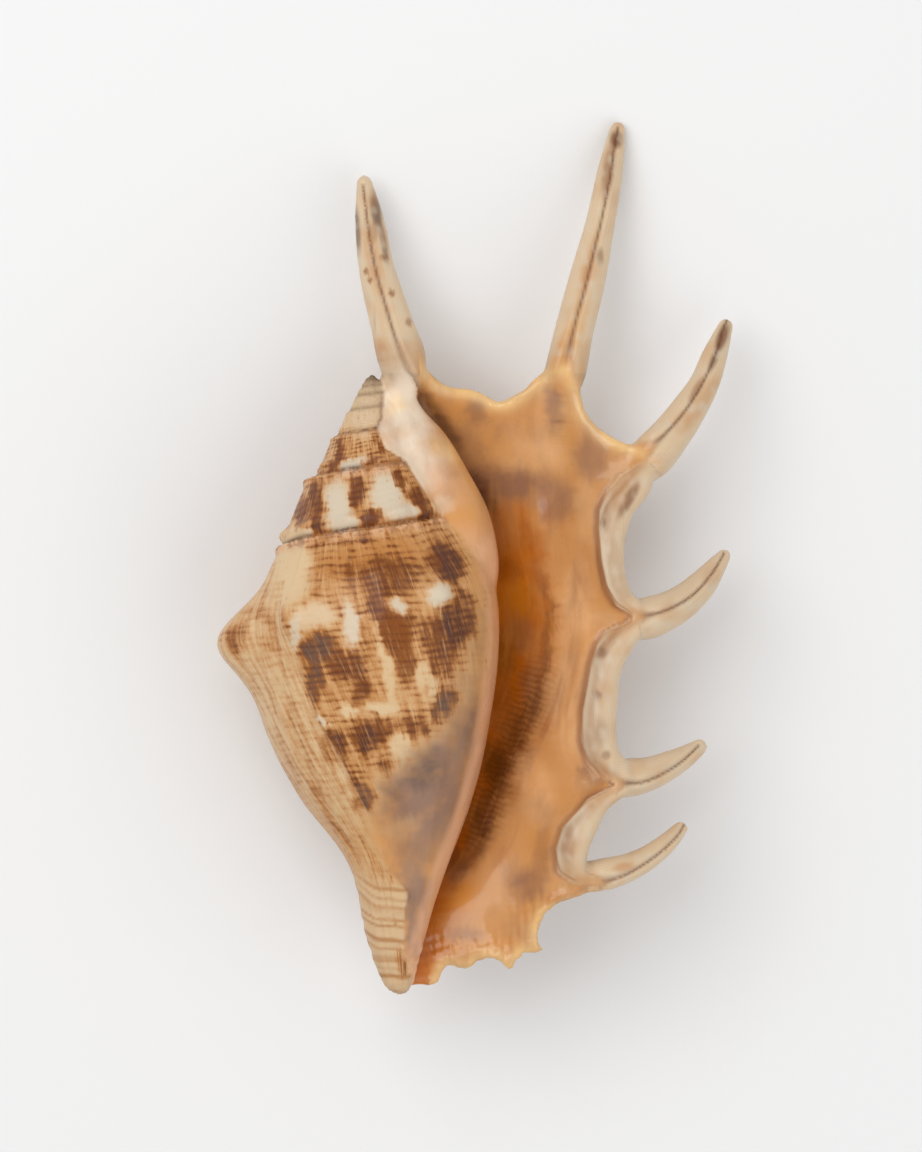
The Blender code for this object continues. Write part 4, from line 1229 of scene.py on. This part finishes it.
class Sketch:
    """Adds shader nodes and links them with as few words as possible."""

    def __init__(self, tree: bpy.types.NodeTree) -> None:
        """Work on one node tree."""
        self.tree = tree

    def feed(self, socket: Socket, value: object) -> None:
        """Link a socket to another, or set its value.

        Args:
            socket: the input to feed.
            value: another socket or a plain value.
        """
        if isinstance(value, Socket):
            self.tree.links.new(value, socket)
        else:
            socket.default_value = value

    def add(self, kind: str, **inputs: object) -> bpy.types.Node:
        """Add a node.

        Args:
            kind: its type.
            inputs: sockets to link or values to set, by socket name with _ for spaces.

        Returns:
            The node.
        """
        node = self.tree.nodes.new(kind)
        for name, value in inputs.items():
            self.feed(node.inputs[name.replace("_", " ")], value)
        return node

    def group(self, tree: bpy.types.NodeTree, **inputs: object) -> tuple[Socket, ...]:
        """Add a node group.

        Args:
            tree: the group's own nodes.
            inputs: sockets to link or values to set, by socket name.

        Returns:
            Its outputs, in their order.
        """
        node = self.tree.nodes.new("ShaderNodeGroup")
        node.node_tree = tree
        for name, value in inputs.items():
            self.feed(node.inputs[name], value)
        return tuple(node.outputs)

    def math(self, operation: str, *values: object, clamp: bool = False) -> Socket:
        """Reckon with numbers.

        Args:
            operation: what to do with them.
            values: sockets or plain numbers.
            clamp: whether to keep the result between 0 and 1.

        Returns:
            The result.
        """
        node = self.tree.nodes.new("ShaderNodeMath")
        node.operation = operation
        node.use_clamp = clamp
        for socket, value in zip(node.inputs, values):
            self.feed(socket, value)
        return node.outputs[0]

    def times(self, a: object, b: object) -> Socket:
        """Two numbers multiplied."""
        return self.math("MULTIPLY", a, b)

    def vary(self, value: object, noise: object, share: object) -> Socket:
        """A value raised and lowered by a share of a noise."""
        return self.math("MULTIPLY_ADD", self.math("SUBTRACT", noise, 0.5), share, value)

    def wave(self, phase: object) -> Socket:
        """A sine that runs through one wave while its phase grows by 1."""
        return self.math("SINE", self.times(phase, FULL_TURN))

    def step(self, value: object, low: object, high: object) -> Socket:
        """A smooth rise from 0 to 1.

        Args:
            value: the number that is looked at.
            low: where the rise starts.
            high: where it ends.

        Returns:
            The result.
        """
        node = self.tree.nodes.new("ShaderNodeMapRange")
        node.interpolation_type = "SMOOTHSTEP"
        for name, given in (("Value", value), ("From Min", low), ("From Max", high)):
            self.feed(node.inputs[name], given)
        return node.outputs["Result"]

    def noise(self, place: object, scale: float, detail: float = 3.0, rough: float = 0.5) -> Socket:
        """A noise value over a place."""
        node = self.add("ShaderNodeTexNoise", Vector=place, Scale=scale, Detail=detail, Roughness=rough)
        return node.outputs["Fac"]

    def stretch(self, place: object, x: float, y: float) -> Socket:
        """A place with two of its axes scaled.

        Args:
            place: the place.
            x: what its X is multiplied by.
            y: what its Y is multiplied by.

        Returns:
            The new place.
        """
        node = self.tree.nodes.new("ShaderNodeVectorMath")
        node.operation = "MULTIPLY"
        self.feed(node.inputs[0], place)
        node.inputs[1].default_value = (x, y, 1.0)
        return node.outputs[0]

    def blend(self, share: object, a: object, b: object) -> Socket:
        """Mix two colours.

        Args:
            share: how much of the second, from 0 to 1.
            a: the first colour.
            b: the second colour.

        Returns:
            The mixed colour.
        """
        node = self.tree.nodes.new("ShaderNodeMix")
        node.data_type = "RGBA"
        self.feed(node.inputs["Factor"], share)
        colours = [socket for socket in node.inputs if socket.type == "RGBA"]
        self.feed(colours[0], a)
        self.feed(colours[1], b)
        return next(socket for socket in node.outputs if socket.type == "RGBA")

    def tint(self, colour: object, tone: Tone, share: object) -> Socket:
        """A colour mixed with a share of a tone."""
        return self.blend(share, colour, (*tone.linear(), 1.0))

    def attribute(self, name: str) -> Socket:
        """Three numbers kept for each vertex.

        Args:
            name: what they are kept under.

        Returns:
            The numbers, as one vector.
        """
        node = self.tree.nodes.new("ShaderNodeAttribute")
        node.attribute_name = name
        return node.outputs["Vector"]

    def split(self, vector: object) -> tuple[Socket, ...]:
        """A vector's three numbers."""
        return tuple(self.add("ShaderNodeSeparateXYZ", Vector=vector).outputs)

    def join(self, x: object, y: object, z: object) -> Socket:
        """A vector of three numbers."""
        return self.add("ShaderNodeCombineXYZ", X=x, Y=y, Z=z).outputs[0]


def new_group(name: str, takes: dict[str, str], gives: dict[str, str]) -> tuple:
    """A shader node group with named sockets.

    Args:
        name: the group's name.
        takes: its inputs, as name to socket type.
        gives: its outputs, as name to socket type.

    Returns:
        The group, a sketch of its tree, its inputs inside it and its end node.
    """
    group = bpy.data.node_groups.new(name, "ShaderNodeTree")
    for way, sockets in (("INPUT", takes), ("OUTPUT", gives)):
        for label, kind in sockets.items():
            group.interface.new_socket(label, in_out=way, socket_type=kind)
    start = group.nodes.new("NodeGroupInput")
    end = group.nodes.new("NodeGroupOutput")
    return group, Sketch(group), [start.outputs[label] for label in takes], end


def new_material(name: str) -> tuple[bpy.types.Material, Sketch, bpy.types.Node]:
    """A material with nodes.

    Args:
        name: the material's name.

    Returns:
        The material, a sketch of its tree and its surface node.
    """
    material = bpy.data.materials.new(name)
    material.use_nodes = True
    return material, Sketch(material.node_tree), material.node_tree.nodes["Principled BSDF"]


@dataclass(frozen=True)
class GrowthLines:
    """Fine lines left by growth, with uneven spacing and strength."""

    def build(self) -> bpy.types.NodeTree:
        """Lines across a running distance, broken up over the surface.

        Returns:
            The node group.
        """
        group, sketch, (run, place, spacing, waver), end = new_group(
            "growth_lines", {"Run": FLOAT, "Place": VECTOR, "Spacing": FLOAT, "Waver": FLOAT},
            {"Line": FLOAT, "Height": FLOAT})
        run = sketch.vary(run, sketch.noise(place, 0.16, 2.0), waver)
        phase = sketch.math("DIVIDE", run, spacing)
        bands = sketch.noise(sketch.join(phase, 0.0, 0.0), 0.9, 3.0, 0.7)
        line = sketch.math("MULTIPLY_ADD", sketch.wave(phase), 0.22, bands)
        line = sketch.vary(line, sketch.noise(place, 0.5, 3.0), 0.35)
        sketch.feed(end.inputs["Line"], sketch.step(line, 0.42, 0.78))
        sketch.feed(end.inputs["Height"], line)
        return group


@dataclass(frozen=True)
class SpiralCords:
    """The fine raised cords that run round the coil."""

    coil: Coil
    spire_share: float = 0.135
    behind_start: float = -1.71

    def build(self) -> bpy.types.NodeTree:
        """Cords over a place in the shell's axes.

        Returns:
            The node group: the cord's height, the way down the whorl and the turn round the axis.
        """
        group, sketch, (place, count), end = new_group(
            "spiral_cords", {"Place": VECTOR, "Count": FLOAT}, {"Cord": FLOAT, "Down": FLOAT, "Turn": FLOAT})
        x, y, z = sketch.split(place)
        coil = self.coil
        from_axis = sketch.math("MULTIPLY_ADD", y, -coil.lean / coil.apex_y, x)
        turn = sketch.math("ARCTAN2", sketch.math("DIVIDE", z, coil.depth_share), from_axis)
        behind = sketch.math("LESS_THAN", turn, self.behind_start)
        turn = sketch.math("ADD", turn, sketch.times(behind, FULL_TURN))
        scale = sketch.math("POWER", coil.growth, sketch.math("MULTIPLY_ADD", turn, 1 / FULL_TURN, -0.5))
        suture = sketch.times(scale, coil.last_suture)
        from_apex = sketch.math("SUBTRACT", coil.apex_y, y)
        last = sketch.math("SUBTRACT", from_apex, suture)
        share = sketch.math("DIVIDE", last, sketch.math("SUBTRACT", coil.apex_y, suture))
        spire = sketch.math("LOGARITHM", sketch.math("DIVIDE", from_apex, suture), coil.growth)
        spire = sketch.times(spire, self.spire_share)
        on_last = sketch.math("GREATER_THAN", last, 0.0)
        down = sketch.math("ADD", sketch.times(share, on_last),
                           sketch.times(spire, sketch.math("SUBTRACT", 1.0, on_last)))
        waver = sketch.math("SUBTRACT", sketch.noise(place, 0.09, 2.0), 0.5)
        phase = sketch.math("MULTIPLY_ADD", down, count, sketch.times(waver, 1.6))
        uneven = sketch.noise(sketch.join(phase, 0.0, 0.0), 0.7, 2.0)
        cord = sketch.math("MULTIPLY_ADD", sketch.wave(phase), 0.5, sketch.times(uneven, 0.6))
        for label, result in (("Cord", cord), ("Down", down), ("Turn", turn)):
            sketch.feed(end.inputs[label], result)
        return group


@dataclass
class Kept:
    """What the painting keeps for each vertex, as sockets that the finish reads."""

    sketch: Sketch

    def __post_init__(self) -> None:
        """Read every kept attribute once."""
        read, split = self.sketch.attribute, self.sketch.split
        self.place, self.light, self.stain = read("place"), read("light"), read("stain")
        self.amount, self.bare, self.pale = split(read("pattern"))
        self.inner, self.callus, self.lirate = split(read("finish"))
        self.across, self.corded, self.from_fold = split(read("run"))
        self.height = split(self.place)[1]


@dataclass(frozen=True)
class ShellFinish:
    """The shell's surface: streaked, mottled back, glossy callus and lip, pale digits with fine lines."""

    name: str = "shell"
    roughness: float = 0.30
    coat: float = 0.40
    coat_roughness: float = 0.10
    specular: float = 0.22
    cords: float = 66.0
    lines_apart: float = 0.55
    lines_waver: float = 0.9
    folds_apart: float = 1.35
    relief: float = 0.00016

    def build(self, coil: Coil) -> bpy.types.Material:
        """The material's nodes.

        Args:
            coil: the coil that the cords follow.

        Returns:
            The material.
        """
        material, sketch, surface = new_material(self.name)
        kept = Kept(sketch)
        cord, down, turn = sketch.group(SpiralCords(coil).build(), Place=kept.place, Count=self.cords)
        line, ridge = sketch.group(GrowthLines().build(), Run=kept.across, Place=kept.place,
                                   Spacing=self.lines_apart, Waver=self.lines_waver)
        grown = sketch.math("MULTIPLY_ADD", turn, 22.0, sketch.times(kept.height, -0.25))
        unrolled = sketch.join(grown, sketch.times(down, 92.0), 0.0)
        axial, blotchy, speck, fibre = (
            sketch.noise(sketch.stretch(unrolled, across, along), 1.0, detail, rough)
            for across, along, detail, rough in (
                (0.66, 0.075, 5.0, 0.62), (0.24, 0.34, 4.0, 0.6), (0.8, 2.2, 2.0, 0.6), (1.7, 0.13, 4.0, 0.65)
            )
        )
        level = kept.amount
        for grain, share in ((axial, 1.35), (blotchy, 0.7), (speck, 0.28), (fibre, -0.30)):
            level = sketch.vary(level, grain, share)
        strong = sketch.times(sketch.step(blotchy, 0.36, 0.62), kept.corded)
        proud = sketch.math("SUBTRACT", cord, 0.3)
        level = sketch.math("MULTIPLY_ADD", proud, sketch.times(strong, 0.24), level)
        colour = self.mark_back(sketch, kept, level, strong, cord)
        streaks = sketch.times(sketch.step(fibre, 0.52, 0.74), sketch.times(kept.bare, 0.30))
        colour = sketch.tint(colour, Tone.CREAM, streaks)
        colour = sketch.tint(colour, Tone.TAN, sketch.times(line, sketch.times(kept.pale, 0.09)))
        folds = self.folds(sketch, kept.place)
        colour = self.cloud_inside(sketch, kept, colour, folds)
        sketch.feed(surface.inputs["Base Color"], colour)
        sketch.feed(surface.inputs["Emission Color"], sketch.attribute("glow"))
        surface.inputs["Emission Strength"].default_value = 1.0
        self.gloss(sketch, surface, kept)
        height = sketch.times(cord, sketch.times(kept.corded, -0.30))
        reliefs = ((fibre, kept.bare, 0.75), (ridge, kept.pale, -0.22), (folds, kept.lirate, -0.8))
        for relief, where, share in reliefs:
            height = sketch.math("MULTIPLY_ADD", sketch.times(relief, where), share, height)
        height = sketch.math("MULTIPLY_ADD", sketch.noise(kept.place, 1.6, 3.0, 0.6), 0.12, height)
        bump = sketch.add("ShaderNodeBump", Height=height, Strength=1.0, Distance=self.relief)
        sketch.feed(surface.inputs["Normal"], bump.outputs["Normal"])
        return material

    def mark_back(self, sketch: Sketch, kept: Kept, level: Socket, strong: Socket, cord: Socket) -> Socket:
        """Lay the markings over the light ground: tan, then golden, then dark, then the cords' rings.

        Args:
            sketch: the material's tree.
            kept: what is kept for each vertex.
            level: how dark the markings are.
            strong: where the cords show.
            cord: how high the cords stand.

        Returns:
            The colour.
        """
        warm = sketch.times(sketch.step(level, -0.06, 0.50), kept.bare)
        colour = sketch.tint(kept.light, Tone.TAN, sketch.times(warm, 0.80))
        middle = sketch.times(sketch.step(level, 0.28, 0.78), kept.bare)
        colour = sketch.tint(colour, Tone.GOLDEN, sketch.times(middle, 0.84))
        dark = sketch.times(sketch.step(level, 0.48, 1.12), kept.bare)
        colour = sketch.blend(sketch.times(dark, 0.92), colour, kept.stain)
        ringed = sketch.times(sketch.step(level, 0.18, 0.62), kept.corded)
        rings = sketch.times(sketch.times(ringed, strong), 0.50)
        return sketch.tint(colour, Tone.BROWN, sketch.times(sketch.step(cord, 0.36, 0.80), rings))

    def cloud_inside(self, sketch: Sketch, kept: Kept, colour: Socket, folds: Socket) -> Socket:
        """Cloud the callus and the lip, with short rays and wrinkles along the lip's fold.

        Args:
            sketch: the material's tree.
            kept: what is kept for each vertex.
            colour: the colour so far.
            folds: the wrinkles.

        Returns:
            The new colour.
        """
        height = kept.height
        clouds = sketch.step(sketch.noise(sketch.stretch(kept.place, 1.0, 0.45), 0.16, 4.0, 0.55), 0.42, 0.72)
        smooth = sketch.math("ADD", kept.inner, kept.callus, clamp=True)
        colour = sketch.tint(colour, Tone.SMOKE, sketch.times(clouds, sketch.times(smooth, 0.36)))
        rays = sketch.noise(sketch.join(kept.from_fold, sketch.times(height, 0.14), 0.0), 0.40, 2.0, 0.5)
        near = sketch.math("SUBTRACT", 1.0, sketch.step(kept.from_fold, 1.0, 12.0))
        near = sketch.times(kept.inner, near)
        near = sketch.times(near, sketch.step(height, 112.0, 96.0))
        near = sketch.times(near, sketch.step(height, 18.0, 34.0))
        for tone, end in ((Tone.RUST, 0.76), (Tone.AMBER, 0.28)):
            ray = sketch.times(sketch.step(rays, 0.50, end), sketch.times(near, 0.50))
            colour = sketch.tint(colour, tone, ray)
        warm = sketch.step(sketch.noise(kept.place, 0.17, 3.0, 0.5), 0.45, 0.75)
        colour = sketch.tint(colour, Tone.AMBER, sketch.times(warm, sketch.times(smooth, 0.30)))
        return sketch.tint(colour, Tone.UMBER, sketch.times(folds, sketch.times(kept.lirate, 0.38)))

    def folds(self, sketch: Sketch, place: Socket) -> Socket:
        """The short parallel wrinkles along the fold of the lip.

        Args:
            sketch: the material's tree.
            place: the place in the shell's axes.

        Returns:
            1 on each wrinkle and 0 between.
        """
        x, y, _ = sketch.split(place)
        run = sketch.math("MULTIPLY_ADD", x, 0.32, y)
        run = sketch.vary(run, sketch.noise(place, 0.25, 2.0), 2.4)
        return sketch.step(sketch.math("SINE", sketch.times(run, FULL_TURN / self.folds_apart)), -0.5, 0.9)

    def gloss(self, sketch: Sketch, surface: bpy.types.Node, kept: Kept) -> None:
        """Roughness: worn and satin on the back and digits, polished on the callus and lip.

        Args:
            sketch: the material's tree.
            surface: its surface node.
            kept: what is kept for each vertex.
        """
        worn = sketch.noise(kept.place, 0.35, 4.0, 0.6)
        rough = sketch.math("MULTIPLY_ADD", kept.bare, 0.10, self.roughness)
        rough = sketch.math("MULTIPLY_ADD", kept.pale, 0.10, rough)
        rough = sketch.vary(rough, worn, 0.22)
        sketch.feed(surface.inputs["Roughness"], sketch.math("MAXIMUM", rough, 0.12))
        dull = sketch.math("ADD", kept.bare, sketch.times(kept.pale, 0.5), clamp=True)
        left = sketch.math("ADD", sketch.times(dull, -0.75), 1.0)
        sketch.feed(surface.inputs["Coat Weight"], sketch.times(left, self.coat))
        surface.inputs["Coat Roughness"].default_value = self.coat_roughness
        surface.inputs["Specular IOR Level"].default_value = self.specular


# The shell, floor, lights and camera -----------------------------------------------------------------


@dataclass
class Shell:
    """The whole shell as one skin."""

    coil: Coil = field(default_factory=Coil)
    lip: Lip = field(default_factory=Lip)
    pose: RestPose = RestPose()
    voxel: float = 0.52
    triangles: int = 194000
    even_steps: int = 4
    blend_steps: int = 16

    def build(self) -> bpy.types.Object:
        """Join the forms, carve and paint the skin, and lay it down.

        Returns:
            The piece.
        """
        forms = [self.coil.build(), self.lip.build(), Tube("rim", self.lip.rim, 420, 24).build()]
        forms += [Tube(f"digit_{k + 1}", digit.stations).build() for k, digit in enumerate(DIGITS)]
        forms.append(Tube("callus", CALLUS, flatness=CALLUS_FLATNESS).build())
        deselect_all()
        for form in forms:
            form.select_set(True)
        bpy.context.view_layer.objects.active = forms[0]
        bpy.ops.object.join()
        piece = bpy.context.object
        piece.name = piece.data.name = "conch_shell"
        apply_modifier(piece, "REMESH", mode="VOXEL", voxel_size=self.voxel * MM)
        LOG.info("skin: %d faces", len(piece.data.polygons))
        self.blend_joints(piece)
        surface = ShellSurface(self.coil, self.lip)
        surface.carve(piece)
        apply_modifier(piece, "DECIMATE", ratio=self.triangles / (2 * len(piece.data.polygons)))
        surface.paint(piece)
        piece.data.transform(self.pose.matrix())
        make_active(piece)
        bpy.ops.object.shade_smooth()
        piece.data.materials.clear()
        piece.data.materials.append(ShellFinish().build(self.coil))
        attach(piece, "root")
        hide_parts("shell")
        LOG.info("shell: %d triangles", sum(len(face.vertices) - 2 for face in piece.data.polygons))
        return piece

    def blend_joints(self, piece: bpy.types.Object) -> None:
        """Soften the skin: a little on the body, more where digits, rim and callus meet the lip.

        Args:
            piece: the joined skin.
        """
        apply_modifier(piece, "SMOOTH", factor=0.5, iterations=self.even_steps)
        x, y, z = vertex_places(piece).T
        gap = self.coil.around(x, y, z)[1]
        body = (np.abs(gap) < 0.8) & (x < curve_x(CALLUS_EDGE, y) - 1.0)
        ragged = (y < 18) & (x > 5)
        group = piece.vertex_groups.new(name="joints")
        group.add(np.flatnonzero(~(body | ragged)).tolist(), 1.0, "REPLACE")
        apply_modifier(piece, "SMOOTH", factor=0.5, iterations=self.blend_steps, vertex_group="joints")
        piece.vertex_groups.clear()


@dataclass
class Studio:
    """A pale floor and soft light."""

    floor_size: float = 6.0
    floor_colour: tuple[float, float, float] = (0.86, 0.86, 0.86)
    sky: float = 0.57

    def build(self) -> None:
        """Make the floor, the sky and the lamps."""
        deselect_all()
        bpy.ops.mesh.primitive_grid_add(x_subdivisions=12, y_subdivisions=12, size=self.floor_size)
        floor = bpy.context.object
        floor.name = floor.data.name = "floor"
        material, sketch, surface = new_material("floor")
        place = sketch.add("ShaderNodeTexCoord").outputs["Object"]
        shade = sketch.noise(place, 3.0, 2.0)
        low = tuple(0.985 * value for value in self.floor_colour)
        colour = sketch.blend(shade, (*low, 1.0), (*self.floor_colour, 1.0))
        sketch.feed(surface.inputs["Base Color"], colour)
        surface.inputs["Roughness"].default_value = 0.75
        floor.data.materials.append(material)
        world = bpy.data.worlds.new("studio")
        world.use_nodes = True
        background = world.node_tree.nodes["Background"]
        background.inputs["Color"].default_value = (1.0, 1.0, 1.0, 1.0)
        background.inputs["Strength"].default_value = self.sky
        bpy.context.scene.world = world
        self.lamp("key", (-0.48, 0.46, 1.0), 0.85, 6.9)
        self.lamp("fill", (0.62, -0.42, 0.9), 1.1, 3.2)

    def lamp(self, name: str, place: tuple[float, float, float], size: float, power: float) -> None:
        """A soft square lamp turned to the shell.

        Args:
            name: its name.
            place: where it hangs, in metres.
            size: its side, in metres.
            power: its power, in watts.
        """
        deselect_all()
        aim = (Vector((0.0, 0.0, 0.02)) - Vector(place)).to_track_quat("-Z", "Y").to_euler()
        bpy.ops.object.light_add(type="AREA", location=place, rotation=aim)
        lamp = bpy.context.object
        lamp.name = lamp.data.name = name
        lamp.data.shape = "SQUARE"
        lamp.data.size = size
        lamp.data.energy = power


@dataclass
class Viewpoint:
    """The camera, square on to the aperture side from far off."""

    middle: tuple[float, float] = (12.55, 86.2)
    height_seen: float = 0.2370
    distance: float = 4.0
    sensor: float = 36.0

    def build(self, pose: RestPose) -> None:
        """Place the camera against the shell's own axes.

        Args:
            pose: how the shell lies.
        """
        deselect_all()
        bpy.ops.object.camera_add()
        camera = bpy.context.object
        camera.name = camera.data.name = "camera"
        camera.data.sensor_width = self.sensor
        camera.data.lens = self.sensor * self.distance / self.height_seen
        camera.data.clip_end = 20.0
        x, y = self.middle
        camera.matrix_world = pose.matrix() @ Matrix.Translation((x * MM, y * MM, self.distance))
        bpy.context.scene.camera = camera


def main() -> None:
    """Build the shell, its floor, light and camera, and note the sizes."""
    logging.basicConfig(level=logging.INFO, format="%(name)s %(message)s")
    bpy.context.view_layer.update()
    Viewpoint().build(RestPose())
    Studio().build()
    shell = Shell().build()
    bpy.context.scene.view_settings.view_transform = "Standard"


if __name__ == "__main__":
    main()
